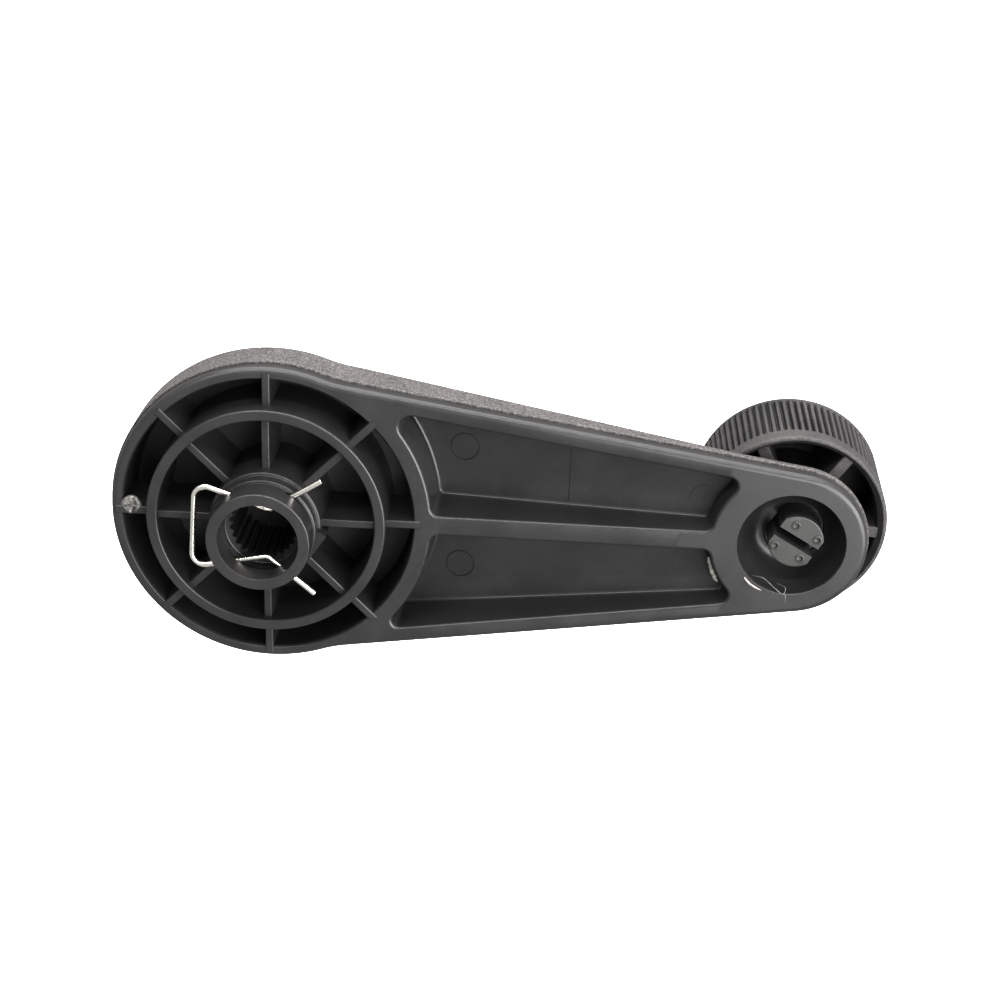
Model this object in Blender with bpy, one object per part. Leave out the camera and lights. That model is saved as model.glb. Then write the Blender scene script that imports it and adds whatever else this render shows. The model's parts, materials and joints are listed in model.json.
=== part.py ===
"""Window winder handle for a vehicle door, as separate solid pieces.

The pieces are drawn in the handle's own lying frame: x runs along the arm from the bore to the knob, y runs
across the arm, and z runs along the bore, out of the handle's back. One empty stands that frame up, so that
in the world the arm points along +X, the back with its bore faces -Y, and the knob stands out along +Y. The
world origin lies on the bore's axis, in the plane of the boss's end face.
"""

import math

import bmesh
import bpy
from mathutils import Vector

MM = 0.001

# Driving dimensions of the arm
KNOB_OFFSET = 100.0 * MM      # bore axis to knob axis
TIP_CENTRE = 99.0 * MM        # bore axis to the centre of the arm's rounded tip
HUB_RADIUS = 30.4 * MM
TIP_RADIUS = 14.7 * MM
NECK_RADIUS = 26.0 * MM       # hollow curve between the hub and the straight flank
FLANK_ANGLE = math.radians(8.5)
HUB_WALL = 9.9 * MM           # depth of the side wall at the hub, below the back plane
TIP_WALL = 3.5 * MM           # the same at the tip
WALL_START = 12.0 * MM        # the wall grows shallower between these two stations
WALL_END = 84.0 * MM
FRONT_ROUND = 4.0 * MM        # width of the front edge's rounding
FRONT_DEPTH = 3.6 * MM        # height of the front edge's rounding
HUB_CROWN = 1.2 * MM          # rise of the front face over its edge
TIP_CROWN = 0.8 * MM
RIM_STEP = 0.5 * MM           # the smooth back rim stands in from the textured wall
RIM_ROUND = 1.0 * MM
PARTING_DEPTH = 2.6 * MM

# The hub, its rib ring, ribs and boss
CAVITY_RADIUS = 27.7 * MM
CAVITY_DEPTH = 11.6 * MM
CAVITY_DRAFT = 0.3 * MM       # the cavity narrows by this much down to its floor
RING_OUTER = 22.7 * MM
RING_INNER = 20.55 * MM
RING_HEIGHT = 2.8 * MM
RIB_COUNT = 8
RIB_THICKNESS = 1.6 * MM
INNER_RIB_HEIGHT = 1.3 * MM
OUTER_RIB_HEIGHT = -0.35 * MM
BOSS_HEIGHT = 11.65 * MM
BOSS_RADIUS = 9.7 * MM
COLLAR_RADIUS = 10.5 * MM
COLLAR_HEIGHT = 3.4 * MM
SHOULDER_RADIUS = 9.95 * MM
SHOULDER_HEIGHT = 5.7 * MM
COLLAR_CHAMFER = 0.4 * MM
SHOULDER_CHAMFER = 0.2 * MM
COUNTERBORE_RADIUS = 7.5 * MM
COUNTERBORE_FLOOR = 4.6 * MM
SPLINE_MINOR = 5.7 * MM
SPLINE_MAJOR = 6.35 * MM
SPLINE_TEETH = 24
SPLINE_FLOOR = -8.5 * MM
GATE_CENTRE = (-26.1 * MM, 1.0 * MM)
GATE_RADIUS = 1.9 * MM
GATE_HEIGHT = 0.3 * MM

# The two pockets behind the arm
POCKET_HUB_RADIUS = 31.2 * MM
POCKET_TIP_RADIUS = 15.3 * MM
POCKET_RIM = 3.7 * MM
WEB_HALF = 2.0 * MM
POCKET_FLOOR_X = 34.0 * MM
POCKET_FLOOR_DEPTH = 9.6 * MM
POCKET_FLOOR_SLOPE = 0.09
POCKET_DRAFT = 0.06
POCKET_CORNER = 2.0 * MM
POCKET_HUB_TURN = math.radians(36.0)   # how far round the hub the pocket's inner end reaches
POCKET_LONG_CORNER = 2.2      # the corners beside the flank reach this many corner sizes along it
POCKET_TIP_TRIM = 1.6         # and this many round the tip

# The knob's seat in the arm's tip
RECESS_RADIUS = 10.35 * MM
RECESS_FLOOR_RADIUS = 5.6 * MM
RECESS_DEPTH = 7.9 * MM
RECESS_STEPS = 10
HEAD_BORE_RADIUS = 5.8 * MM
HEAD_BORE_DEPTH = 8.3 * MM
PIN_HOLE_RADIUS = 4.3 * MM
PAD_RADIUS = 9.4 * MM         # the pad on the front closes the recess and carries the knob
PAD_ROOT = 6.0 * MM
PAD_DEPTH = 10.5 * MM

# The spindle that the knob turns on
PIN_RADIUS = 4.0 * MM
PIN_HEAD_RADIUS = 5.25 * MM
PIN_HEAD_TOP = -1.8 * MM
PIN_HEAD_BOTTOM = -8.0 * MM
PIN_HEAD_FLAT = 4.4 * MM      # half the head's length along its slot
PIN_CHAMFER = 0.35 * MM
PIN_SLOT_WIDTH = 1.9 * MM
PIN_SLOT_FLOOR = -14.0 * MM
PIN_SLOT_ANGLE = math.radians(-30.0)
PIN_FLANGE_RADIUS = 7.0 * MM
PIN_FLANGE_TOP = -26.3 * MM
PIN_FLANGE_BOTTOM = -28.2 * MM

# The knob
KNOB_BACK = -10.1 * MM
KNOB_FRONT = -30.4 * MM
KNOB_BACK_RADIUS = 18.05 * MM
KNOB_FRONT_RADIUS = 18.4 * MM
KNOB_INNER_RADIUS = 16.5 * MM
KNOB_HOLLOW_FLOOR = -26.6 * MM
KNOB_HOLLOW_DRAFT = 0.4 * MM  # the hollow narrows by this much down to its floor
KNOB_EDGE = 1.4 * MM
RIDGE_COUNT = 84
RIDGE_HEIGHT = 0.45 * MM
RIDGE_BACK = -13.6 * MM
RIDGE_FRONT = -28.6 * MM
KNOB_HUB_RADIUS = 9.0 * MM
KNOB_HUB_BACK = -10.8 * MM
KNOB_RIB_COUNT = 6
KNOB_RIB_THICKNESS = 1.8 * MM
KNOB_RIB_BACK = -11.1 * MM
KNOB_RIB_TURN = math.radians(-5.0)
FLANGE_SEAT_RADIUS = 7.3 * MM
FLANGE_SEAT_BACK = -26.0 * MM
CAP_SEAT_RADIUS = 13.3 * MM
CAP_SEAT_BACK = -28.6 * MM
CAP_RADIUS = 13.0 * MM
CAP_BACK = -28.9 * MM
CAP_RISE = 1.1 * MM
CAP_SINK = 0.2 * MM           # the cap's edge lies this far inside the knob's front

# The wire retaining clip
WIRE_RADIUS = 0.55 * MM
CLIP_LEVEL = 6.7 * MM
CLIP_TURN = math.radians(-3.3)
CLIP_BACK_X = -12.9 * MM
CLIP_CORNER = (-10.9 * MM, 8.7 * MM)
CLIP_NECK = (1.4 * MM, 4.85 * MM)
CLIP_TIP = (10.6 * MM, 11.65 * MM)
CLIP_CORNER_BEND = 2.2 * MM
CLIP_NECK_BEND = 1.2 * MM
SLOT_INNER = 3.9 * MM
SLOT_OUTER = 8.5 * MM
SLOT_LOW = 5.95 * MM
SLOT_HIGH = 7.45 * MM

# Mesh fineness
HUB_STEPS = 40
TIP_STEPS = 20
NECK_STEPS = 6
FLANK_STEPS = 6
ROUND_STEPS = 72
SMALL_STEPS = 40
WIRE_SIDES = 10
BEND_STEPS = 6
EDGE_STEPS = 3                # faces across a small rounded edge
FRONT_STEPS = 4               # faces across the front edge's rounding
CROWN_RINGS = (0.66, 0.33, 0.0)   # where the crown's loops lie, from its edge to its spine
CORNER_STEPS = 4
POCKET_HUB_STEPS = 7
POCKET_TIP_STEPS = 5
GATE_STEPS = 20
CAP_RINGS = 6
POINTS_PER_RIDGE = 4
OVERSHOOT = 2.0 * MM          # how far a cutter runs past what it cuts
EMBED = 0.8 * MM              # how far a rib or a wall runs into what it joins
WELD = 0.001 * MM
SMOOTH_ANGLE = math.radians(35.0)


# ---------------------------------------------------------------- scene, materials and mesh helpers

def clear_scene():
    """Remove every object that the file opened with."""
    for item in list(bpy.data.objects):
        bpy.data.objects.remove(item, do_unlink=True)


def surface(name, colour, roughness, metallic=0.0):
    """A Principled material with one colour, roughness and metallic value."""
    material = bpy.data.materials.new(name)
    material.use_nodes = True
    shader = material.node_tree.nodes["Principled BSDF"]
    shader.inputs["Base Color"].default_value = (*colour, 1.0)
    shader.inputs["Roughness"].default_value = roughness
    shader.inputs["Metallic"].default_value = metallic
    return material


def finish_mesh(name, bm, parent, location=(0.0, 0.0, 0.0), material=None):
    """Weld the mesh, turn its faces outward, and link it as an object under its parent empty.

    Every face becomes triangles, because a Boolean wants flat faces and a sloped quad may not be.
    """
    bmesh.ops.remove_doubles(bm, verts=bm.verts, dist=WELD)
    bmesh.ops.recalc_face_normals(bm, faces=bm.faces)
    bmesh.ops.triangulate(bm, faces=bm.faces)
    mesh = bpy.data.meshes.new(name)
    bm.to_mesh(mesh)
    bm.free()
    mesh.shade_smooth()
    mesh.set_sharp_from_angle(angle=SMOOTH_ANGLE)
    item = bpy.data.objects.new(name, mesh)
    bpy.context.scene.collection.objects.link(item)
    item.parent = parent
    item.location = location
    if material is not None:
        mesh.materials.append(material)
    return item


def combine(target, tool, operation, solver="EXACT"):
    """Cut target with tool, or join tool to it. The tool itself is only a guide."""
    step = target.modifiers.new(tool.name, "BOOLEAN")
    step.operation = operation
    step.solver = solver
    step.object = tool
    tool.hide_render = True
    tool.display_type = "WIRE"


def skin(bm, loops, flat_end=True):
    """Join a stack of equal loops of points with quads and close its ends with flat faces.

    Without flat_end the last loop has folded onto a line, so welding its points closes that end.
    """
    rings = [[bm.verts.new(point) for point in loop] for loop in loops]
    count = len(rings[0])
    for low, high in zip(rings, rings[1:]):
        for i in range(count):
            j = (i + 1) % count
            bm.faces.new((low[i], low[j], high[j], high[i]))
    bm.faces.new(rings[0])
    if flat_end:
        bm.faces.new(rings[-1])


def turned(profile, steps, closed=False):
    """Spin a profile of (radius, height) points once round the z axis."""
    bm = bmesh.new()
    points = [bm.verts.new((radius, 0.0, height)) for radius, height in profile]
    edges = [bm.edges.new(pair) for pair in zip(points, points[1:])]
    if closed:
        edges.append(bm.edges.new((points[-1], points[0])))
    bmesh.ops.spin(bm, geom=points + edges, cent=(0, 0, 0), axis=(0, 0, 1), angle=math.tau, steps=steps,
                   use_merge=True)
    bmesh.ops.remove_doubles(bm, verts=bm.verts, dist=WELD)
    return bm


def block(bm, low, high, turn=0.0):
    """Add a box between two corners, turned about the z axis."""
    corners = [(low[0], low[1]), (high[0], low[1]), (high[0], high[1]), (low[0], high[1])]
    cosine, sine = math.cos(turn), math.sin(turn)
    outline = [(x * cosine - y * sine, x * sine + y * cosine) for x, y in corners]
    skin(bm, [[(x, y, low[2]) for x, y in outline], [(x, y, high[2]) for x, y in outline]])


def arc(centre, radius, start, end, steps):
    """Points along an arc in the xy plane, both ends included."""
    angles = [start + (end - start) * i / steps for i in range(steps + 1)]
    return [(centre[0] + radius * math.cos(a), centre[1] + radius * math.sin(a)) for a in angles]


def moved_in(outline, distance):
    """The outline with each point moved inward, square to its two neighbours. Runs anticlockwise."""
    result = []
    for i, (x, y) in enumerate(outline):
        before = Vector(outline[i - 1])
        after = Vector(outline[(i + 1) % len(outline)])
        along = (after - before).normalized()
        result.append((x - along.y * distance, y + along.x * distance))
    return result


def rounded(start, corner, end, steps):
    """Points of a smooth curve that leaves start towards corner and arrives at end from corner."""
    start, corner, end = Vector(start), Vector(corner), Vector(end)
    shares = [i / steps for i in range(steps + 1)]
    return [tuple(start * (1 - t) ** 2 + corner * 2 * t * (1 - t) + end * t * t) for t in shares]


def ease(value):
    """Clamp to 0..1."""
    return max(0.0, min(1.0, value))


# ---------------------------------------------------------------- the arm

def flank_height(x):
    """Half width of the arm along its straight flank at station x."""
    return TIP_RADIUS / math.cos(FLANK_ANGLE) + math.tan(FLANK_ANGLE) * (TIP_CENTRE - x)


def neck_centre():
    """Centre of the hollow curve that touches the hub circle and the straight flank."""
    slope = math.tan(FLANK_ANGLE)
    rise = flank_height(0.0) + NECK_RADIUS / math.cos(FLANK_ANGLE)
    reach = HUB_RADIUS + NECK_RADIUS
    a = 1.0 + slope * slope
    b = -2.0 * slope * rise
    c = rise * rise - reach * reach
    x = (-b + math.sqrt(b * b - 4.0 * a * c)) / (2.0 * a)
    return x, rise - slope * x


def arm_outline():
    """The arm's outline and, for each point, the station on the arm's centre line that it belongs to."""
    neck_x, neck_y = neck_centre()
    hub_end = math.atan2(neck_y, neck_x)
    flank_start_x = neck_x - NECK_RADIUS * math.sin(FLANK_ANGLE)
    flank_end_x = TIP_CENTRE + TIP_RADIUS * math.sin(FLANK_ANGLE)
    points = []
    tip_start = math.pi / 2 - FLANK_ANGLE
    for x, y in arc((TIP_CENTRE, 0.0), TIP_RADIUS, 0.0, tip_start, TIP_STEPS // 2):
        points.append((x, y, TIP_CENTRE))
    for i in range(1, FLANK_STEPS):
        x = flank_end_x + (flank_start_x - flank_end_x) * i / FLANK_STEPS
        y = flank_height(x)
        points.append((x, y, x - y * math.tan(FLANK_ANGLE)))
    neck_low = -math.pi / 2 - FLANK_ANGLE
    neck_high = hub_end - math.pi
    for x, y in arc((neck_x, neck_y), NECK_RADIUS, neck_low, neck_high, NECK_STEPS)[:-1]:
        share = ease((x - HUB_RADIUS * math.cos(hub_end)) / (flank_start_x - HUB_RADIUS * math.cos(hub_end)))
        station = share * (flank_start_x - flank_height(flank_start_x) * math.tan(FLANK_ANGLE))
        points.append((x, y, station))
    for x, y in arc((0.0, 0.0), HUB_RADIUS, hub_end, math.pi, HUB_STEPS // 2):
        points.append((x, y, 0.0))
    lower = [(x, -y, station) for x, y, station in reversed(points[1:-1])]
    whole = points + lower
    return [(x, y) for x, y, _ in whole], [station for _, _, station in whole]


def taper(station):
    """0 at the hub, 1 at the tip."""
    return ease((station - WALL_START) / (WALL_END - WALL_START))


def wall_depth(station):
    """How far the side wall reaches down before its front edge starts to round over."""
    return HUB_WALL + (TIP_WALL - HUB_WALL) * taper(station)


def crown(station):
    """How far the front face rises over its edge."""
    return HUB_CROWN + (TIP_CROWN - HUB_CROWN) * taper(station)


def make_arm_blank(parent, material):
    """The arm before its back is hollowed: stepped rim, side wall, rounded front edge and crowned face."""
    outline, stations = arm_outline()
    loops = []
    for i in range(EDGE_STEPS + 1):
        angle = math.pi / 2 * i / EDGE_STEPS
        inset = RIM_STEP + RIM_ROUND * (1.0 - math.sin(angle))
        height = -RIM_ROUND * (1.0 - math.cos(angle))
        loops.append([(x, y, height) for x, y in moved_in(outline, inset)])
    rim = moved_in(outline, RIM_STEP)
    loops.append([(x, y, -PARTING_DEPTH) for x, y in rim])
    loops.append([(x, y, -PARTING_DEPTH) for x, y in outline])
    for i in range(FRONT_STEPS + 1):
        angle = math.pi / 2 * i / FRONT_STEPS
        flat = moved_in(outline, FRONT_ROUND * (1.0 - math.cos(angle)))
        loops.append([
            (x, y, -wall_depth(s) - FRONT_DEPTH * math.sin(angle)) for (x, y), s in zip(flat, stations)
        ])
    face = moved_in(outline, FRONT_ROUND)
    for share in CROWN_RINGS:
        loops.append([
            (s + (x - s) * share, y * share, -wall_depth(s) - FRONT_DEPTH - crown(s) * (1.0 - share * share))
            for (x, y), s in zip(face, stations)
        ])
    bm = bmesh.new()
    skin(bm, loops, flat_end=False)
    return finish_mesh("handle_arm", bm, parent, material=material)


def pocket_corner(centre_x, radius, side):
    """Where a circle about a point on the centre line meets the pocket's long edge, beside the flank."""
    slope = math.tan(FLANK_ANGLE)
    rise = flank_height(centre_x) - POCKET_RIM / math.cos(FLANK_ANGLE)
    a = 1.0 + slope * slope
    b = -2.0 * slope * rise
    c = rise * rise - radius * radius
    x = (-b + side * math.sqrt(b * b - 4.0 * a * c)) / (2.0 * a)
    return centre_x + x, rise - slope * x


def pocket_floor(x):
    """Height of the pockets' floor at station x. It climbs towards the knob as the arm grows thinner."""
    return -POCKET_FLOOR_DEPTH + POCKET_FLOOR_SLOPE * (x - POCKET_FLOOR_X)


def pocket_edge(x):
    """Height of the pocket's long edge beside the flank at station x."""
    return flank_height(x) - POCKET_RIM / math.cos(FLANK_ANGLE)


def pocket_outline():
    """The upper pocket's outline: an arc round the hub, the web, an arc round the tip and the long edge."""
    far_x, far_y = pocket_corner(TIP_CENTRE, POCKET_TIP_RADIUS, -1)
    near_web = math.asin(WEB_HALF / POCKET_HUB_RADIUS)
    far_web = math.pi - math.asin(WEB_HALF / POCKET_TIP_RADIUS)
    near_trim = POCKET_CORNER / POCKET_HUB_RADIUS
    far_trim = POCKET_CORNER / POCKET_TIP_RADIUS
    far_top = math.atan2(far_y, far_x - TIP_CENTRE)
    near = arc((0.0, 0.0), POCKET_HUB_RADIUS, POCKET_HUB_TURN, near_web + near_trim, POCKET_HUB_STEPS)
    far = arc((TIP_CENTRE, 0.0), POCKET_TIP_RADIUS, far_web - far_trim, far_top + POCKET_TIP_TRIM * far_trim,
              POCKET_TIP_STEPS)
    web_near = (POCKET_HUB_RADIUS * math.cos(near_web), WEB_HALF)
    web_far = (TIP_CENTRE + POCKET_TIP_RADIUS * math.cos(far_web), WEB_HALF)
    top_near_x = near[0][0] + POCKET_LONG_CORNER * POCKET_CORNER
    top_far_x = far_x - POCKET_LONG_CORNER * POCKET_CORNER
    outline = near[:-1]
    outline += rounded(near[-1], web_near, (web_near[0] + POCKET_CORNER, WEB_HALF), CORNER_STEPS)
    outline += rounded((web_far[0] - POCKET_CORNER, WEB_HALF), web_far, far[0], CORNER_STEPS)
    outline += far[1:-1]
    outline += rounded(far[-1], (far_x, far_y), (top_far_x, pocket_edge(top_far_x)), CORNER_STEPS)
    long_corner = (near[0][0], pocket_edge(near[0][0]))
    outline += rounded((top_near_x, pocket_edge(top_near_x)), long_corner, near[0], BEND_STEPS)[:-1]
    return outline


def make_pocket_cutter(name, parent, side):
    """The drafted hollow on one side of the arm's centre web. side is 1 or -1."""
    outline = pocket_outline()
    top = moved_in(outline, -POCKET_DRAFT * OVERSHOOT)
    floor = moved_in(outline, POCKET_DRAFT * POCKET_FLOOR_DEPTH)
    bm = bmesh.new()
    skin(bm, [
        [(x, y * side, OVERSHOOT) for x, y in top],
        [(x, y * side, pocket_floor(x)) for x, y in floor],
    ])
    return finish_mesh(name, bm, parent)


def make_ribs(parent):
    """The radial ribs inside and outside the rib ring, as separate bars that the arm takes in."""
    bm = bmesh.new()
    half = RIB_THICKNESS / 2.0
    for i in range(RIB_COUNT):
        turn = math.tau * i / RIB_COUNT
        block(bm, (BOSS_RADIUS - EMBED, -half, -CAVITY_DEPTH - EMBED),
              (RING_INNER + EMBED, half, INNER_RIB_HEIGHT), turn)
        block(bm, (RING_OUTER - EMBED, -half, -CAVITY_DEPTH - EMBED),
              (CAVITY_RADIUS + EMBED, half, OUTER_RIB_HEIGHT), turn)
    return finish_mesh("hub_ribs", bm, parent)


def make_spline_cutter(parent):
    """The toothed bore that takes the regulator's spindle."""
    outline = []
    for i in range(SPLINE_TEETH * 2):
        angle = math.pi * i / SPLINE_TEETH
        radius = SPLINE_MAJOR if i % 2 else SPLINE_MINOR
        outline.append((radius * math.cos(angle), radius * math.sin(angle)))
    bm = bmesh.new()
    levels = (SPLINE_FLOOR, COUNTERBORE_FLOOR + OVERSHOOT)
    skin(bm, [[(x, y, height) for x, y in outline] for height in levels])
    return finish_mesh("spline_bore", bm, parent)


def make_clip_slots(parent):
    """Two straight slots across the boss, one for each leg of the wire clip."""
    bm = bmesh.new()
    reach = COLLAR_RADIUS + OVERSHOOT
    block(bm, (-reach, SLOT_INNER, SLOT_LOW), (reach, SLOT_OUTER, SLOT_HIGH))
    block(bm, (-reach, -SLOT_OUTER, SLOT_LOW), (reach, -SLOT_INNER, SLOT_HIGH))
    return finish_mesh("clip_slots", bm, parent)


def make_arm(parent):
    """The moulded arm with its hollowed back, ribbed hub, splined boss and knob seat."""
    material = surface("moulded_plastic", (0.082, 0.08, 0.08), 0.55)
    arm = make_arm_blank(parent, material)

    cavity = turned([(0, -CAVITY_DEPTH), (CAVITY_RADIUS - CAVITY_DRAFT, -CAVITY_DEPTH), (CAVITY_RADIUS, 0),
                     (CAVITY_RADIUS, OVERSHOOT), (0, OVERSHOOT)], ROUND_STEPS)
    combine(arm, finish_mesh("hub_cavity", cavity, parent), "DIFFERENCE")
    combine(arm, make_pocket_cutter("upper_pocket", parent, 1), "DIFFERENCE")
    combine(arm, make_pocket_cutter("lower_pocket", parent, -1), "DIFFERENCE")

    root = -CAVITY_DEPTH - EMBED
    ring = turned([(RING_INNER, root), (RING_OUTER, root), (RING_OUTER, RING_HEIGHT),
                   (RING_INNER, RING_HEIGHT)], ROUND_STEPS, closed=True)
    combine(arm, finish_mesh("rib_ring", ring, parent), "UNION")
    combine(arm, make_ribs(parent), "UNION", solver="MANIFOLD")
    boss = turned([(0, root), (COLLAR_RADIUS, root), (COLLAR_RADIUS, COLLAR_HEIGHT),
                   (SHOULDER_RADIUS, COLLAR_HEIGHT + COLLAR_CHAMFER), (SHOULDER_RADIUS, SHOULDER_HEIGHT),
                   (BOSS_RADIUS, SHOULDER_HEIGHT + SHOULDER_CHAMFER),
                   (BOSS_RADIUS, BOSS_HEIGHT), (0, BOSS_HEIGHT)], ROUND_STEPS)
    combine(arm, finish_mesh("boss", boss, parent), "UNION")
    gate = turned([(0, -OVERSHOOT), (GATE_RADIUS, -OVERSHOOT), (GATE_RADIUS, GATE_HEIGHT), (0, GATE_HEIGHT)],
                  GATE_STEPS)
    combine(arm, finish_mesh("gate_stub", gate, parent, (*GATE_CENTRE, 0.0)), "UNION")

    counterbore = turned([(0, COUNTERBORE_FLOOR), (COUNTERBORE_RADIUS, COUNTERBORE_FLOOR),
                          (COUNTERBORE_RADIUS, BOSS_HEIGHT + OVERSHOOT), (0, BOSS_HEIGHT + OVERSHOOT)],
                         ROUND_STEPS)
    combine(arm, finish_mesh("counterbore", counterbore, parent), "DIFFERENCE")
    combine(arm, make_spline_cutter(parent), "DIFFERENCE")
    combine(arm, make_clip_slots(parent), "DIFFERENCE")

    knob_axis = (KNOB_OFFSET, 0.0, 0.0)
    pad = turned([(0, -PAD_DEPTH), (PAD_RADIUS, -PAD_DEPTH), (PAD_RADIUS, -PAD_ROOT), (0, -PAD_ROOT)],
                 SMALL_STEPS)
    combine(arm, finish_mesh("knob_pad", pad, parent, knob_axis), "UNION")
    bowl = [(0, -RECESS_DEPTH)]
    for i in range(RECESS_STEPS, -1, -1):
        angle = math.pi / 2.0 * i / RECESS_STEPS
        radius = RECESS_FLOOR_RADIUS + (RECESS_RADIUS - RECESS_FLOOR_RADIUS) * math.cos(angle)
        bowl.append((radius, -RECESS_DEPTH * math.sin(angle)))
    recess = turned(bowl + [(RECESS_RADIUS, OVERSHOOT), (0, OVERSHOOT)], SMALL_STEPS)
    combine(arm, finish_mesh("tip_recess", recess, parent, (TIP_CENTRE, 0.0, 0.0)), "DIFFERENCE")
    seat = turned([(0, -PAD_DEPTH - OVERSHOOT), (PIN_HOLE_RADIUS, -PAD_DEPTH - OVERSHOOT),
                   (PIN_HOLE_RADIUS, -HEAD_BORE_DEPTH), (HEAD_BORE_RADIUS, -HEAD_BORE_DEPTH),
                   (HEAD_BORE_RADIUS, OVERSHOOT), (0, OVERSHOOT)], SMALL_STEPS)
    combine(arm, finish_mesh("pin_seat", seat, parent, knob_axis), "DIFFERENCE")
    return arm


# ---------------------------------------------------------------- the knob's spindle

def make_spindle(parent):
    """The split snap pin: its slotted head holds behind the arm, its flange holds inside the knob."""
    material = surface("spindle_plastic", (0.1, 0.1, 0.1), 0.45)
    pin = turned([(0, PIN_FLANGE_BOTTOM), (PIN_FLANGE_RADIUS, PIN_FLANGE_BOTTOM),
                  (PIN_FLANGE_RADIUS, PIN_FLANGE_TOP), (PIN_RADIUS, PIN_FLANGE_TOP),
                  (PIN_RADIUS, PIN_HEAD_BOTTOM), (PIN_HEAD_RADIUS, PIN_HEAD_BOTTOM),
                  (PIN_HEAD_RADIUS, PIN_HEAD_TOP - PIN_CHAMFER),
                  (PIN_HEAD_RADIUS - PIN_CHAMFER, PIN_HEAD_TOP), (0, PIN_HEAD_TOP)], SMALL_STEPS)
    spindle = finish_mesh("knob_spindle", pin, parent, material=material)
    reach = PIN_HEAD_RADIUS + OVERSHOOT
    half = PIN_SLOT_WIDTH / 2.0
    bm = bmesh.new()
    block(bm, (-reach, -half, PIN_SLOT_FLOOR), (reach, half, OVERSHOOT), PIN_SLOT_ANGLE)
    flats = bmesh.new()
    for turn in (PIN_SLOT_ANGLE, PIN_SLOT_ANGLE + math.pi):
        block(flats, (PIN_HEAD_FLAT, -reach, PIN_HEAD_BOTTOM - EMBED), (reach, reach, OVERSHOOT), turn)
    combine(spindle, finish_mesh("head_slot", bm, parent), "DIFFERENCE")
    combine(spindle, finish_mesh("head_flats", flats, parent), "DIFFERENCE")
    return spindle


# ---------------------------------------------------------------- the knob

def make_knob(parent):
    """The knob's hollow shell with its ridged skirt, front plate, hub and radial ribs."""
    material = surface("knob_plastic", (0.07, 0.07, 0.07), 0.5)
    bm = bmesh.new()
    count = RIDGE_COUNT * POINTS_PER_RIDGE

    def ring(height, radius, raised):
        """One loop round the knob, on the plain surface or over the ridges."""
        loop = []
        for i in range(count):
            angle = math.tau * (i + 0.5) / count
            on_top = i % POINTS_PER_RIDGE >= POINTS_PER_RIDGE // 2
            reach = radius if on_top or not raised else radius - RIDGE_HEIGHT
            loop.append((reach * math.cos(angle), reach * math.sin(angle), height))
        return loop

    def skirt(height):
        """The skirt's outer radius at one height."""
        share = (height - KNOB_BACK) / (KNOB_FRONT - KNOB_BACK)
        return KNOB_BACK_RADIUS + (KNOB_FRONT_RADIUS - KNOB_BACK_RADIUS) * share

    loops = [
        ring(KNOB_BACK, skirt(KNOB_BACK), False),
        ring(RIDGE_BACK, skirt(RIDGE_BACK), False),
        ring(RIDGE_BACK - RIDGE_HEIGHT, skirt(RIDGE_BACK), True),
        ring(RIDGE_FRONT + RIDGE_HEIGHT, skirt(RIDGE_FRONT), True),
        ring(RIDGE_FRONT, skirt(RIDGE_FRONT), False),
    ]
    for i in range(1, EDGE_STEPS + 1):
        angle = math.pi / 2 * i / EDGE_STEPS
        inset = KNOB_EDGE * (1.0 - math.cos(angle))
        loops.append(ring(KNOB_FRONT + KNOB_EDGE * (1.0 - math.sin(angle)), KNOB_FRONT_RADIUS - inset, False))
    skin(bm, loops)
    knob = finish_mesh("knob_shell", bm, parent, material=material)

    hollow = turned([(0, KNOB_HUB_BACK), (KNOB_HUB_RADIUS, KNOB_HUB_BACK),
                     (KNOB_HUB_RADIUS, KNOB_HOLLOW_FLOOR),
                     (KNOB_INNER_RADIUS - KNOB_HOLLOW_DRAFT, KNOB_HOLLOW_FLOOR),
                     (KNOB_INNER_RADIUS, KNOB_BACK + OVERSHOOT), (0, KNOB_BACK + OVERSHOOT)], ROUND_STEPS)
    combine(knob, finish_mesh("knob_hollow", hollow, parent), "DIFFERENCE")
    bars = bmesh.new()
    half = KNOB_RIB_THICKNESS / 2.0
    for i in range(KNOB_RIB_COUNT):
        turn = KNOB_RIB_TURN + math.tau * i / KNOB_RIB_COUNT
        block(bars, (KNOB_HUB_RADIUS - EMBED, -half, KNOB_HOLLOW_FLOOR - EMBED),
              (KNOB_INNER_RADIUS + EMBED, half, KNOB_RIB_BACK), turn)
    combine(knob, finish_mesh("knob_ribs", bars, parent), "UNION")
    bore = turned([(0, KNOB_FRONT - OVERSHOOT), (CAP_SEAT_RADIUS, KNOB_FRONT - OVERSHOOT),
                   (CAP_SEAT_RADIUS, CAP_SEAT_BACK), (FLANGE_SEAT_RADIUS, CAP_SEAT_BACK),
                   (FLANGE_SEAT_RADIUS, FLANGE_SEAT_BACK), (PIN_HOLE_RADIUS, FLANGE_SEAT_BACK),
                   (PIN_HOLE_RADIUS, KNOB_HUB_BACK + OVERSHOOT), (0, KNOB_HUB_BACK + OVERSHOOT)], ROUND_STEPS)
    combine(knob, finish_mesh("knob_bore", bore, parent), "DIFFERENCE")
    return knob


def make_cap(parent):
    """The crowned disc that closes the knob's front and covers the spindle's flange."""
    material = surface("cap_plastic", (0.075, 0.075, 0.075), 0.4)
    profile = [(0, CAP_BACK), (CAP_RADIUS, CAP_BACK)]
    for i in range(CAP_RINGS + 1):
        share = 1.0 - i / CAP_RINGS
        profile.append((CAP_RADIUS * share, KNOB_FRONT + CAP_SINK - CAP_RISE * (1.0 - share * share)))
    return finish_mesh("knob_cap", turned(profile, ROUND_STEPS), parent, material=material)


# ---------------------------------------------------------------- the retaining clip

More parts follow.
